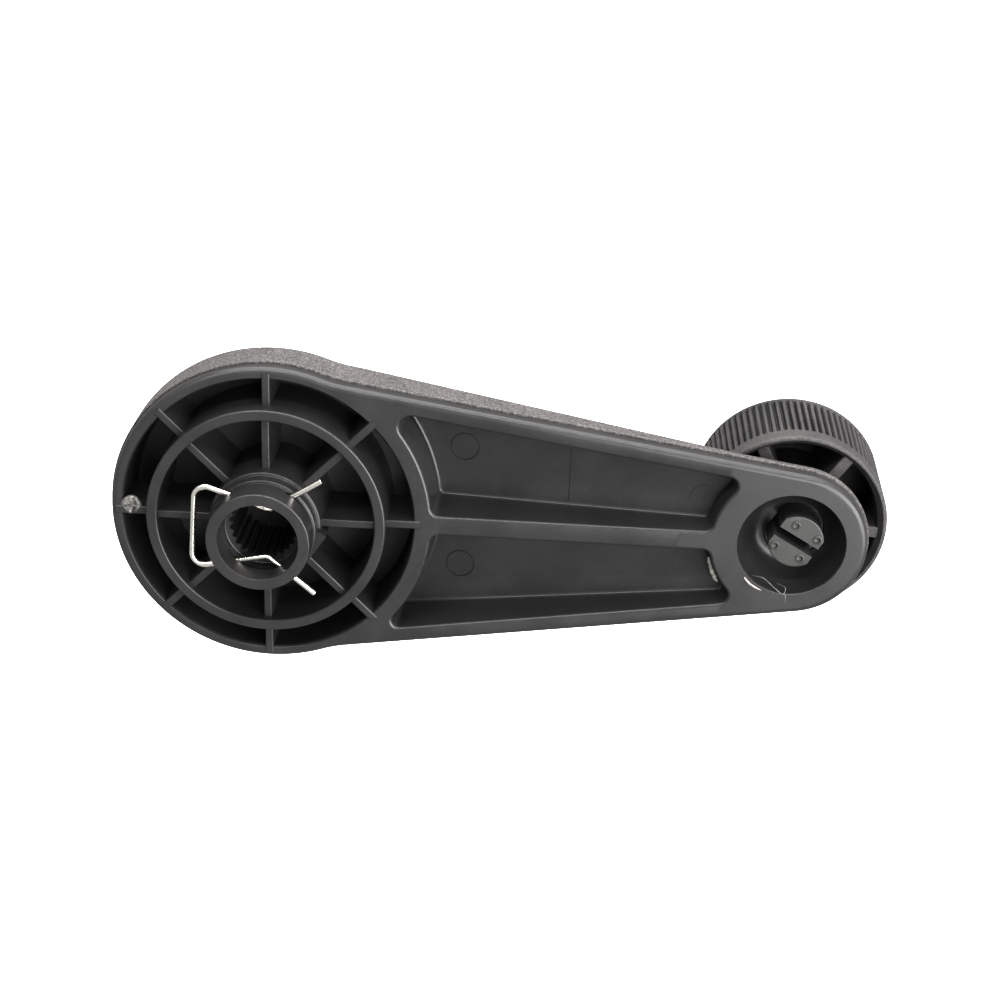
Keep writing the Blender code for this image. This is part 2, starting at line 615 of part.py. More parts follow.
def bend(before, corner, after, radius, steps):
    """Points of the rounded bend where two straight runs of wire meet."""
    into = (corner - before).normalized()
    out = (after - corner).normalized()
    reach = radius * math.tan(into.angle(out) / 2.0)
    return rounded(corner - into * reach, corner, corner + out * reach, steps)


def make_clip(parent):
    """The spring wire: a closed end, two legs that close in on the spindle, and flared tips."""
    material = surface("spring_wire", (0.7, 0.7, 0.7), 0.25, 1.0)
    upper = [Vector((CLIP_BACK_X, 0.0)), Vector((CLIP_BACK_X, CLIP_CORNER[1])),
             Vector(CLIP_NECK), Vector(CLIP_TIP)]
    leg = bend(upper[0], upper[1], upper[2], CLIP_CORNER_BEND, BEND_STEPS)
    leg += bend(upper[1], upper[2], upper[3], CLIP_NECK_BEND, CORNER_STEPS)
    leg.append(CLIP_TIP)
    path = [(x, -y) for x, y in reversed(leg)] + leg
    curve = bpy.data.curves.new("spring_clip", "CURVE")
    curve.dimensions = "3D"
    curve.bevel_depth = WIRE_RADIUS
    curve.bevel_resolution = (WIRE_SIDES - 4) // 2
    curve.use_fill_caps = True
    spline = curve.splines.new("POLY")
    spline.points.add(len(path) - 1)
    cosine, sine = math.cos(CLIP_TURN), math.sin(CLIP_TURN)
    for point, (x, y) in zip(spline.points, path):
        point.co = (x * cosine - y * sine, x * sine + y * cosine, 0.0, 1.0)
    clip = bpy.data.objects.new("spring_clip", curve)
    bpy.context.scene.collection.objects.link(clip)
    curve.materials.append(material)
    clip.parent = parent
    clip.location = (0.0, 0.0, CLIP_LEVEL)
    return clip


def make_empty(name, location, parent=None, rotation=(0.0, 0.0, 0.0)):
    """A named reference point that pieces hang on."""
    empty = bpy.data.objects.new(name, None)
    empty.empty_display_size = 5.0 * MM
    bpy.context.scene.collection.objects.link(empty)
    empty.location = location
    empty.rotation_euler = rotation
    empty.parent = parent
    return empty


def main():
    """Build the whole handle."""
    clear_scene()
    bore_axis = make_empty("bore_axis", (0.0, BOSS_HEIGHT, 0.0), rotation=(math.radians(90.0), 0.0, 0.0))
    knob_axis = make_empty("knob_axis", (KNOB_OFFSET, 0.0, 0.0), bore_axis)
    make_arm(bore_axis)
    make_clip(bore_axis)
    make_spindle(knob_axis)
    make_knob(knob_axis)
    make_cap(knob_axis)


main()
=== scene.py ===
"""Studio scene of a vehicle window winder handle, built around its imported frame.

Every piece is drawn in the handle's lying frame, as its mould maker would draw it: x runs along the arm
from the bore to the knob, y runs across the arm, and z runs along the bore, out of the handle's back,
with z 0 on the arm's back rim. stand_up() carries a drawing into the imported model's frame.
"""

import json
import logging
import math
from collections.abc import Sequence
from dataclasses import dataclass
from enum import Enum

import bmesh
import bpy
from mathutils import Matrix, Vector, noise


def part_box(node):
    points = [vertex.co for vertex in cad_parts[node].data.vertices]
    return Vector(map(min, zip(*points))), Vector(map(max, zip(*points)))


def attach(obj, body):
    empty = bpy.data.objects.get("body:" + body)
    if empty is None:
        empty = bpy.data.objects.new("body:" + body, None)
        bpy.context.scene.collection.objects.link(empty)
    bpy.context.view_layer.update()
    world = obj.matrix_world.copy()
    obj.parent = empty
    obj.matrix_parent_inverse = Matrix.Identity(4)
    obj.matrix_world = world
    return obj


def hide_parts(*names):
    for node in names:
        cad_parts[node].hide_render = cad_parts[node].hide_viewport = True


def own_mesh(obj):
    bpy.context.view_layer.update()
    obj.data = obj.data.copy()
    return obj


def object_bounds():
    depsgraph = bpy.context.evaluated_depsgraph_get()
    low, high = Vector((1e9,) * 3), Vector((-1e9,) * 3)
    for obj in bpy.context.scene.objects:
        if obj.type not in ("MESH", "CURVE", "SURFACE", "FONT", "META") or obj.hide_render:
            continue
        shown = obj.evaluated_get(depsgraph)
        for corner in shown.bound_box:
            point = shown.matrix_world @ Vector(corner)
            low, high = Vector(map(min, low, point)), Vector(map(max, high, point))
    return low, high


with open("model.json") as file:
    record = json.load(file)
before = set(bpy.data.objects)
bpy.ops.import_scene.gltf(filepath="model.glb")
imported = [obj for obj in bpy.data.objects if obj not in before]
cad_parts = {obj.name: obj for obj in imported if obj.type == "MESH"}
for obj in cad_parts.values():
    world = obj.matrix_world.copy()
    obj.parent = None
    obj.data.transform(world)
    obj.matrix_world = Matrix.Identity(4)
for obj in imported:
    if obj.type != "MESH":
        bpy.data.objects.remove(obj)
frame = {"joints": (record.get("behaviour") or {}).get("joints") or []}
CAD_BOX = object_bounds()

LOG = logging.getLogger("winder_handle")

MM = 0.001
WELD = 0.002 * MM
OVERSHOOT = 2.0 * MM          # how far a cutting tool runs past what it cuts
EMBED = 0.8 * MM              # how far a joined shape runs into the body that takes it in
SHARP_ANGLE = math.radians(32.0)
FLARE_ANGLE = math.radians(75.0)   # a softened mouth stops short of the flat face it opens in
ROUND_STEPS = 144
SMALL_STEPS = 72
EDGE_STEPS = 5

Outline = list[tuple[float, float]]
Loop = list[tuple[float, float, float]]
Corner = tuple[float, float, float]
Colour = tuple[float, float, float, float]
Socket = bpy.types.NodeSocket


class Tool(Enum):
    """What a tool body does to the piece it meets."""

    CUT = "DIFFERENCE"
    JOIN = "UNION"


class Side(Enum):
    """The side of the arm's centre web that a pocket lies on."""

    UPPER = 1
    LOWER = -1


class Face(Enum):
    """The two mould faces of a piece, in the order of its material slots."""

    SMOOTH = 0
    GRAINED = 1


# ---------------------------------------------------------------- colours and nodes

def linear(hex_colour: str) -> Colour:
    """Turn an sRGB hex colour into the linear colour that a shader takes.

    Args:
        hex_colour: Six hex digits after a hash sign.

    Returns:
        Red, green, blue and an alpha of 1.
    """
    channels = [int(hex_colour[i:i + 2], 16) / 255.0 for i in (1, 3, 5)]
    lit = [c / 12.92 if c <= 0.04045 else ((c + 0.055) / 1.055) ** 2.4 for c in channels]
    return (lit[0], lit[1], lit[2], 1.0)


def add(tree: bpy.types.NodeTree, kind: str, inputs: dict[str | int, object] | None = None,
        **settings: object) -> bpy.types.Node:
    """Add a node with its settings and links.

    Args:
        tree: The node tree that takes the node.
        kind: The node's type.
        inputs: For each named socket, its value or the output socket that feeds it.
        settings: The node's own properties.

    Returns:
        The new node.
    """
    node = tree.nodes.new(kind)
    for name, value in settings.items():
        setattr(node, name, value)
    for name, value in (inputs or {}).items():
        if isinstance(value, Socket):
            tree.links.new(value, node.inputs[name])
        else:
            node.inputs[name].default_value = value
    return node


def blank_material(name: str) -> bpy.types.Material:
    """A material with an empty node tree.

    Args:
        name: The finish's name.

    Returns:
        The new material.
    """
    material = bpy.data.materials.new(name)
    material.use_nodes = True
    material.node_tree.nodes.clear()
    return material


# ---------------------------------------------------------------- finishes

@dataclass(frozen=True)
class MouldedPlastic:
    """Black-grey polypropylene, as one face of its mould leaves it.

    The even base colour takes a paler bloom in broad clouds, its shine wanders a little, and the mould's
    own texture stands up as a grain.
    """

    name: str
    colour: str
    bloom: str
    roughness: float
    shine_spread: float = 0.06
    cloud: float = 9.0 * MM
    cloud_share: float = 0.35
    grain: float = 0.5 * MM       # real mould grain is finer, and this still shows from half a metre
    grain_height: float = 0.02 * MM
    grain_bloom: float = 0.0
    ior: float = 1.49

    def material(self) -> bpy.types.Material:
        """Build the node material.

        Returns:
            The finished material.
        """
        made = blank_material(self.name)
        tree = made.node_tree
        place = add(tree, "ShaderNodeTexCoord").outputs["Object"]
        cloud = add(tree, "ShaderNodeTexNoise", {
            "Vector": place, "Scale": 1.0 / self.cloud, "Detail": 4.0, "Roughness": 0.55})
        grain = add(tree, "ShaderNodeTexNoise", {
            "Vector": place, "Scale": 1.0 / self.grain, "Detail": 2.0, "Roughness": 0.6})
        clouds = add(tree, "ShaderNodeMapRange", {
            "Value": cloud.outputs["Fac"], "From Min": 0.35, "From Max": 0.7, "To Max": self.cloud_share})
        peaks = add(tree, "ShaderNodeMapRange", {
            "Value": grain.outputs["Fac"], "From Min": 0.42, "From Max": 0.66, "To Max": self.grain_bloom})
        pale = add(tree, "ShaderNodeMath", {0: clouds.outputs["Result"], 1: peaks.outputs["Result"]},
                   operation="ADD", use_clamp=True)
        colour = add(tree, "ShaderNodeMixRGB", {
            "Fac": pale.outputs["Value"], "Color1": linear(self.colour), "Color2": linear(self.bloom)})
        shine = add(tree, "ShaderNodeMapRange", {
            "Value": cloud.outputs["Fac"], "From Min": 0.3, "From Max": 0.7,
            "To Min": self.roughness - self.shine_spread, "To Max": self.roughness + self.shine_spread})
        relief = add(tree, "ShaderNodeBump", {
            "Height": grain.outputs["Fac"], "Distance": self.grain_height, "Strength": 1.0})
        shader = add(tree, "ShaderNodeBsdfPrincipled", {
            "Base Color": colour.outputs["Color"], "Roughness": shine.outputs["Result"],
            "Normal": relief.outputs["Normal"], "IOR": self.ior})
        add(tree, "ShaderNodeOutputMaterial", {"Surface": shader.outputs["BSDF"]})
        return made


@dataclass(frozen=True)
class DrawnWire:
    """Bright spring steel wire, drawn through a die.

    It mirrors the studio softly, and fine draw marks break the mirror into dull and bright patches.
    """

    name: str = "drawn_spring_steel"
    colour: str = "#d2d0ca"
    tarnish: str = "#8f8c86"
    roughness: float = 0.22
    mark: float = 0.35 * MM       # real draw marks are finer, and these still show from half a metre
    mark_height: float = 0.006 * MM

    def material(self) -> bpy.types.Material:
        """Build the node material.

        Returns:
            The finished material.
        """
        made = blank_material(self.name)
        tree = made.node_tree
        place = add(tree, "ShaderNodeTexCoord").outputs["Object"]
        marks = add(tree, "ShaderNodeTexNoise", {
            "Vector": place, "Scale": 1.0 / self.mark, "Detail": 3.0, "Roughness": 0.6})
        dull = add(tree, "ShaderNodeMapRange", {
            "Value": marks.outputs["Fac"], "From Min": 0.5, "From Max": 0.75, "To Max": 0.7})
        colour = add(tree, "ShaderNodeMixRGB", {
            "Fac": dull.outputs["Result"], "Color1": linear(self.colour), "Color2": linear(self.tarnish)})
        shine = add(tree, "ShaderNodeMapRange", {
            "Value": marks.outputs["Fac"], "From Min": 0.35, "From Max": 0.7,
            "To Min": self.roughness, "To Max": self.roughness + 0.15})
        relief = add(tree, "ShaderNodeBump", {
            "Height": marks.outputs["Fac"], "Distance": self.mark_height, "Strength": 1.0})
        shader = add(tree, "ShaderNodeBsdfPrincipled", {
            "Base Color": colour.outputs["Color"], "Metallic": 1.0, "Roughness": shine.outputs["Result"],
            "Normal": relief.outputs["Normal"]})
        add(tree, "ShaderNodeOutputMaterial", {"Surface": shader.outputs["BSDF"]})
        return made


# The mould's smooth side: a dark low sheen that draws bright lines along the rounded edges.
BACK_PLASTIC = MouldedPlastic(
    "smooth_moulded_polypropylene", "#333232", "#414040", roughness=0.34, grain=0.9 * MM,
    grain_height=0.012 * MM, grain_bloom=0.12)
# The spark-eroded outside: a paler, matt, sandy grain that tells it from the back.
GRAIN_PLASTIC = MouldedPlastic(
    "spark_eroded_polypropylene", "#413f3e", "#7b7877", roughness=0.62, cloud_share=0.1, grain=0.42 * MM,
    grain_height=0.09 * MM, grain_bloom=0.6)
# The knob's skin: duller than the back, so its ridges show by light and shadow alone.
KNOB_PLASTIC = MouldedPlastic(
    "matt_moulded_knob_polypropylene", "#363535", "#5b5958", roughness=0.55, grain=0.4 * MM,
    grain_height=0.03 * MM, grain_bloom=0.4)
# The hard pin: an even sheen with hardly any grain, a little paler than the arm round it.
SPINDLE_PLASTIC = MouldedPlastic(
    "smooth_moulded_acetal", "#3c3c3b", "#4a4948", roughness=0.36, cloud=3.0 * MM, grain=0.5 * MM,
    grain_height=0.008 * MM, grain_bloom=0.15, ior=1.48)
# The cap's face: a fine half-shine that sets the disc off from the paler knob.
CAP_PLASTIC = MouldedPlastic(
    "satin_moulded_cap_polypropylene", "#323131", "#474645", roughness=0.5, grain=0.3 * MM,
    grain_height=0.015 * MM, grain_bloom=0.3)
# A torn surface: pale and dull patches over a rough relief.
TORN_PLASTIC = MouldedPlastic(
    "torn_gate_polypropylene", "#393837", "#7b7976", roughness=0.4, shine_spread=0.15, cloud=0.9 * MM,
    cloud_share=0.8, grain=0.3 * MM, grain_height=0.08 * MM, grain_bloom=0.6)
# Plastic stretched thin: pale partly from the stretch and partly as a painted highlight, the brightest
# plastic on the handle.
FLASH_AND_GLINT_PLASTIC = MouldedPlastic(
    "stretched_flash_and_painted_glint_polypropylene", "#565452", "#a5a39e", roughness=0.3, cloud=0.8 * MM, cloud_share=0.8,
    grain=0.25 * MM, grain_height=0.03 * MM, grain_bloom=0.4)


# ---------------------------------------------------------------- drawing tools

def stand_up() -> Matrix:
    """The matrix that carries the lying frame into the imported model's frame.

    Returns:
        A turn about x that points the back at -Y, with the boss's end face at the arm's lowest y.
    """
    low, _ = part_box("handle_arm")
    turn = Matrix.Rotation(math.pi / 2.0, 4, "X")
    turn.translation = Vector((0.0, low.y + HubSizes.boss_height, 0.0))
    return turn


def soften(corners: Sequence[Corner], closed: bool = False, steps: int = EDGE_STEPS) -> Outline:
    """Draw a profile with each of its corners rounded.

    Args:
        corners: For each corner, its two coordinates and the radius of its rounding.
        closed: Whether the last corner joins the first.
        steps: Straight pieces in each rounding.

    Returns:
        The profile's points.
    """
    points: Outline = []
    last = len(corners) - 1
    for i, (u, v, radius) in enumerate(corners):
        if radius == 0.0 or (not closed and i in (0, last)):
            points.append((u, v))
            continue
        here = Vector((u, v))
        before = (Vector(corners[i - 1][:2]) - here).normalized()
        after = (Vector(corners[(i + 1) % len(corners)][:2]) - here).normalized()
        half = before.angle(after) / 2.0
        reach = radius / math.tan(half)
        centre = here + (before + after).normalized() * (radius / math.sin(half))
        start, end = here + before * reach - centre, here + after * reach - centre
        sweep = start.angle(end)
        for k in range(steps + 1):
            share = k / steps
            spoke = start * math.sin((1.0 - share) * sweep) + end * math.sin(share * sweep)
            points.append(tuple(centre + spoke / math.sin(sweep)))
    return points


def arc(centre: tuple[float, float], radius: float, start: float, end: float, steps: int) -> Outline:
    """Draw an arc.

    Args:
        centre: The arc's centre.
        radius: The arc's radius.
        start: The angle where it starts.
        end: The angle where it ends.
        steps: Straight pieces in the arc.

    Returns:
        Its points, both ends included.
    """
    angles = [start + (end - start) * i / steps for i in range(steps + 1)]
    return [(centre[0] + radius * math.cos(a), centre[1] + radius * math.sin(a)) for a in angles]


def moved_in(outline: Outline, distance: float) -> Outline:
    """Move each point of an anticlockwise outline inward, square to its two neighbours.

    Args:
        outline: The closed outline.
        distance: How far each point moves.

    Returns:
        The moved points, in the same order.
    """
    moved: Outline = []
    for i, (x, y) in enumerate(outline):
        along = (Vector(outline[(i + 1) % len(outline)]) - Vector(outline[i - 1])).normalized()
        moved.append((x - along.y * distance, y + along.x * distance))
    return moved


def skin(bm: bmesh.types.BMesh, loops: Sequence[Loop], faces: Sequence[Face] = (),
         capped: bool = True) -> None:
    """Join a stack of equal loops with quads, and close its ends.

    Args:
        bm: The mesh that takes the faces.
        loops: The loops, from one end to the other.
        faces: For each band between two loops, its mould face. If empty, every band is smooth.
        capped: Whether the last loop is closed by a flat face, as the first always is.
    """
    rings = [[bm.verts.new(point) for point in loop] for loop in loops]
    count = len(rings[0])
    for band, (near, far) in enumerate(zip(rings, rings[1:])):
        for i in range(count):
            j = (i + 1) % count
            quad = bm.faces.new((near[i], near[j], far[j], far[i]))
            quad.material_index = faces[band].value if faces else Face.SMOOTH.value
    bm.faces.new(rings[0])
    if capped:
        bm.faces.new(rings[-1])


def lofted(loops: Sequence[Loop], faces: Sequence[Face] = (), capped: bool = True) -> bmesh.types.BMesh:
    """Draw a body through a stack of equal loops.

    Args:
        loops: The loops, from one end to the other.
        faces: For each band between two loops, its mould face. If empty, every band is smooth.
        capped: Whether the last loop is closed by a flat face.

    Returns:
        The drawing.
    """
    bm = bmesh.new()
    skin(bm, loops, faces, capped)
    return bm


def turned(profile: Outline, steps: int = ROUND_STEPS, closed: bool = False,
           centre: tuple[float, float] = (0.0, 0.0)) -> bmesh.types.BMesh:
    """Turn a profile once round an axis along z.

    Args:
        profile: Points of radius and height.
        steps: Flats round the turn.
        closed: Whether the profile is a closed ring section.
        centre: Where the axis stands.

    Returns:
        The turned mesh.
    """
    bm = bmesh.new()
    points = [bm.verts.new((radius, 0.0, height)) for radius, height in profile]
    edges = [bm.edges.new(pair) for pair in zip(points, points[1:])]
    if closed:
        edges.append(bm.edges.new((points[-1], points[0])))
    bmesh.ops.spin(bm, geom=points + edges, cent=(0, 0, 0), axis=(0, 0, 1), angle=math.tau, steps=steps,
                   use_merge=True)
    bmesh.ops.translate(bm, verts=bm.verts, vec=(centre[0], centre[1], 0.0))
    return bm


def curve_through(corners: Sequence[Vector], steps: int) -> list[Vector]:
    """Draw a smooth curve through points.

    Args:
        corners: The points that it passes through.
        steps: Straight pieces between two of them.

    Returns:
        The curve's points, both ends included.
    """
    ends = [corners[0] * 2.0 - corners[1], *corners, corners[-1] * 2.0 - corners[-2]]
    points: list[Vector] = []
    for a, b, c, d in zip(ends, ends[1:], ends[2:], ends[3:]):
        for i in range(steps):
            t = i / steps
            points.append(0.5 * (2.0 * b + (c - a) * t + (2.0 * a - 5.0 * b + 4.0 * c - d) * t ** 2
                                 + (3.0 * b - a - 3.0 * c + d) * t ** 3))
    return [*points, corners[-1]]


def bar(bm: bmesh.types.BMesh, reach: tuple[float, float], section: Outline, turn: float,
        centre: tuple[float, float] = (0.0, 0.0)) -> None:
    """Add a straight bar that runs out from an axis along z.

    Args:
        bm: The mesh that takes the bar.
        reach: How far from the axis it starts and ends.
        section: Its section, as points across and up.
        turn: The angle that it points in.
        centre: Where the axis stands.
    """
    cosine, sine = math.cos(turn), math.sin(turn)
    loops = [[(centre[0] + u * cosine - v * sine, centre[1] + u * sine + v * cosine, z) for v, z in section]
             for u in reach]
    skin(bm, loops)


def slab(half: float, low: float, high: float) -> Outline:
    """A plain rectangular section, as points across and up."""
    return [(-half, low), (half, low), (half, high), (-half, high)]


def tube(bm: bmesh.types.BMesh, route: Sequence[Vector], radii: Sequence[float], up: Vector,
         sides: int, flatness: float = 1.0) -> None:
    """Sweep a round or flattened section along a route.

    Args:
        bm: The mesh that takes the tube.
        route: The points of its centre line.
        radii: The section's radius at each point.
        up: The direction that every section keeps as its own up.
        sides: Flats round the section.
        flatness: The section's height as a share of its width.
    """
    loops: list[Loop] = []
    for i, point in enumerate(route):
        along = (route[min(i + 1, len(route) - 1)] - route[max(i - 1, 0)]).normalized()
        across = along.cross(up).normalized()
        rise = across.cross(along).normalized() * flatness
        angles = [math.tau * k / sides for k in range(sides)]
        spokes = [across * math.cos(a) + rise * math.sin(a) for a in angles]
        loops.append([tuple(point + spoke * radii[i]) for spoke in spokes])
    skin(bm, loops)


def shape(name: str, bm: bmesh.types.BMesh, clean: bool = True) -> bpy.types.Object:
    """Turn a drawing into an object, still in the lying frame.

    Args:
        name: The object's name.
        bm: The drawing, which is used up.
        clean: Whether to weld its points and turn its faces outward.

    Returns:
        The new object.
    """
    if clean:
        bmesh.ops.remove_doubles(bm, verts=bm.verts, dist=WELD)
        bmesh.ops.recalc_face_normals(bm, faces=bm.faces)
        bmesh.ops.triangulate(bm, faces=bm.faces)
    mesh = bpy.data.meshes.new(name)
    bm.to_mesh(mesh)
    bm.free()
    made = bpy.data.objects.new(name, mesh)
    bpy.context.scene.collection.objects.link(made)
    return made


class Workpiece:
    """A body that tools cut and join, and that is then stood up and dressed."""

    def __init__(self, name: str, blank: bmesh.types.BMesh) -> None:
        """Start from a blank.

        Args:
            name: The piece's name.
            blank: The drawing of the blank.
        """
        self.body = shape(name, blank)
        self.tools: list[bpy.types.Object] = []

    def work(self, tool: Tool, drawing: bmesh.types.BMesh) -> None:
        """Cut the body with a tool, or join the tool to it.

        Args:
            tool: What the tool does.
            drawing: The tool's shape.
        """
        cutter = shape(f"{self.body.name}_tool", drawing)
        step = self.body.modifiers.new(cutter.name, "BOOLEAN")
        step.operation = tool.value
        step.solver = "MANIFOLD"
        step.object = cutter
        self.tools.append(cutter)

    def release(self, finishes: Sequence[MouldedPlastic | DrawnWire]) -> bpy.types.Object:
        """Settle every cut, stand the piece up and dress it.

        Args:
            finishes: A finish for each mould face, smooth first.

        Returns:
            The finished piece.
        """
        body = self.body
        for finish in finishes:
            body.data.materials.append(material_of(finish))
        view = bpy.context.evaluated_depsgraph_get()
        settled = bpy.data.meshes.new_from_object(body.evaluated_get(view))
        body.modifiers.clear()
        body.data = settled
        for cutter in self.tools:
            bpy.data.objects.remove(cutter, do_unlink=True)
        settled.transform(stand_up())
        settled.shade_smooth()
        settled.set_sharp_from_angle(angle=SHARP_ANGLE)
        weighted = body.modifiers.new("even_shading", "WEIGHTED_NORMAL")
        weighted.keep_sharp = True
        return body


def material_of(finish: MouldedPlastic | DrawnWire) -> bpy.types.Material:
    """The finish's material, built once and then shared.

    Args:
        finish: The finish.

    Returns:
        Its material.
    """
    return bpy.data.materials.get(finish.name) or finish.material()


def report(piece: bpy.types.Object) -> None:
    """Log a finished piece's name and size."""
    size = " x ".join(f"{side / MM:.1f}" for side in piece.dimensions)
    LOG.info("%s: %d faces, %s mm", piece.name, len(piece.data.polygons), size)


# ---------------------------------------------------------------- the arm

@dataclass(frozen=True)
class HubSizes:
    """The arm's hub, with its cavity, rib ring, ribs and splined boss."""

    cavity_radius: float = 27.7 * MM
    cavity_depth: float = 11.6 * MM
    cavity_draft: float = 0.3 * MM
    floor_fillet: float = 0.8 * MM
    mouth_round: float = 1.0 * MM
    ring_outer: float = 22.7 * MM
    ring_inner: float = 20.55 * MM
    ring_height: float = 2.8 * MM
    ring_edge: float = 0.4 * MM
    ribs: int = 8
    rib_half: float = 0.78 * MM
    rib_draft: float = 0.2 * MM
    rib_edge: float = 0.3 * MM
    inner_rib_top: float = 1.3 * MM
    outer_rib_top: float = 0.2 * MM
    outer_rib_end: float = 29.0 * MM
    boss_height: float = 11.65 * MM
    boss_radius: float = 9.7 * MM
    collar_radius: float = 10.6 * MM
    collar_height: float = 3.4 * MM
    shoulder_radius: float = 10.0 * MM
    shoulder_height: float = 5.7 * MM
    groove_depth: float = 0.25 * MM
    bore_radius: float = 7.5 * MM
    bore_floor: float = 4.6 * MM
    spline_minor: float = 5.7 * MM
    spline_major: float = 6.35 * MM
    spline_teeth: int = 24
    spline_floor: float = -8.5 * MM
    slot_inner: float = 3.9 * MM
    slot_outer: float = 8.5 * MM
    slot_low: float = 5.95 * MM
    slot_high: float = 7.45 * MM
    notch_turns: tuple[float, float] = (math.radians(-1.0), math.radians(-10.0))
    gusset: tuple[tuple[float, float], ...] = (
        (8.6 * MM, -0.75 * MM), (9.6 * MM, -0.85 * MM), (11.5 * MM, -1.75 * MM), (11.5 * MM, -2.1 * MM),
        (8.6 * MM, -6.4 * MM), (6.0 * MM, -6.0 * MM))


@dataclass(frozen=True)
class PocketSizes:
    """The two long pockets beside the arm's centre web."""

    hub_radius: float = 31.2 * MM
    tip_radius: float = 15.3 * MM
    rim: float = 3.7 * MM
    web_half: float = 2.0 * MM
    corner: float = 1.75 * MM
    shoulders: tuple[float, float] = (2.2 * MM, 1.5 * MM)
    smallest_corner: float = 0.2 * MM
    floor_from: float = 34.0 * MM
    depth: float = 9.6 * MM
    slope: float = 0.09
    draft: float = 0.55 * MM
    floor_fillet: float = 0.7 * MM
    mouth_round: float = 0.7 * MM
    ejector_radius: float = 2.8 * MM
    ejector_gap: float = 0.22 * MM
    ejector_sink: float = 0.2 * MM
    ejector_drop: float = 0.03 * MM
    step_at: float = 56.7 * MM
    step_width: float = 0.2 * MM
    step_sink: float = 0.2 * MM

    def floor(self, x: float) -> float:
        """The floor's height at station x. It climbs towards the knob."""
        return -self.depth + self.slope * (x - self.floor_from)


@dataclass(frozen=True)
class SeatSizes:
    """The bowl in the arm's tip, the seat of the spindle's head, and the pad on the front."""

    bowl_radius: float = 10.1 * MM
    bowl_floor_radius: float = 5.6 * MM
    bowl_depth: float = 7.9 * MM
    bowl_steps: int = 14
    mouth_round: float = 0.5 * MM
    head_bore: float = 5.8 * MM
    head_bore_depth: float = 8.3 * MM
    pin_hole: float = 4.3 * MM
    pad_radius: float = 9.4 * MM
    pad_root: float = 6.0 * MM
    pad_depth: float = 10.5 * MM


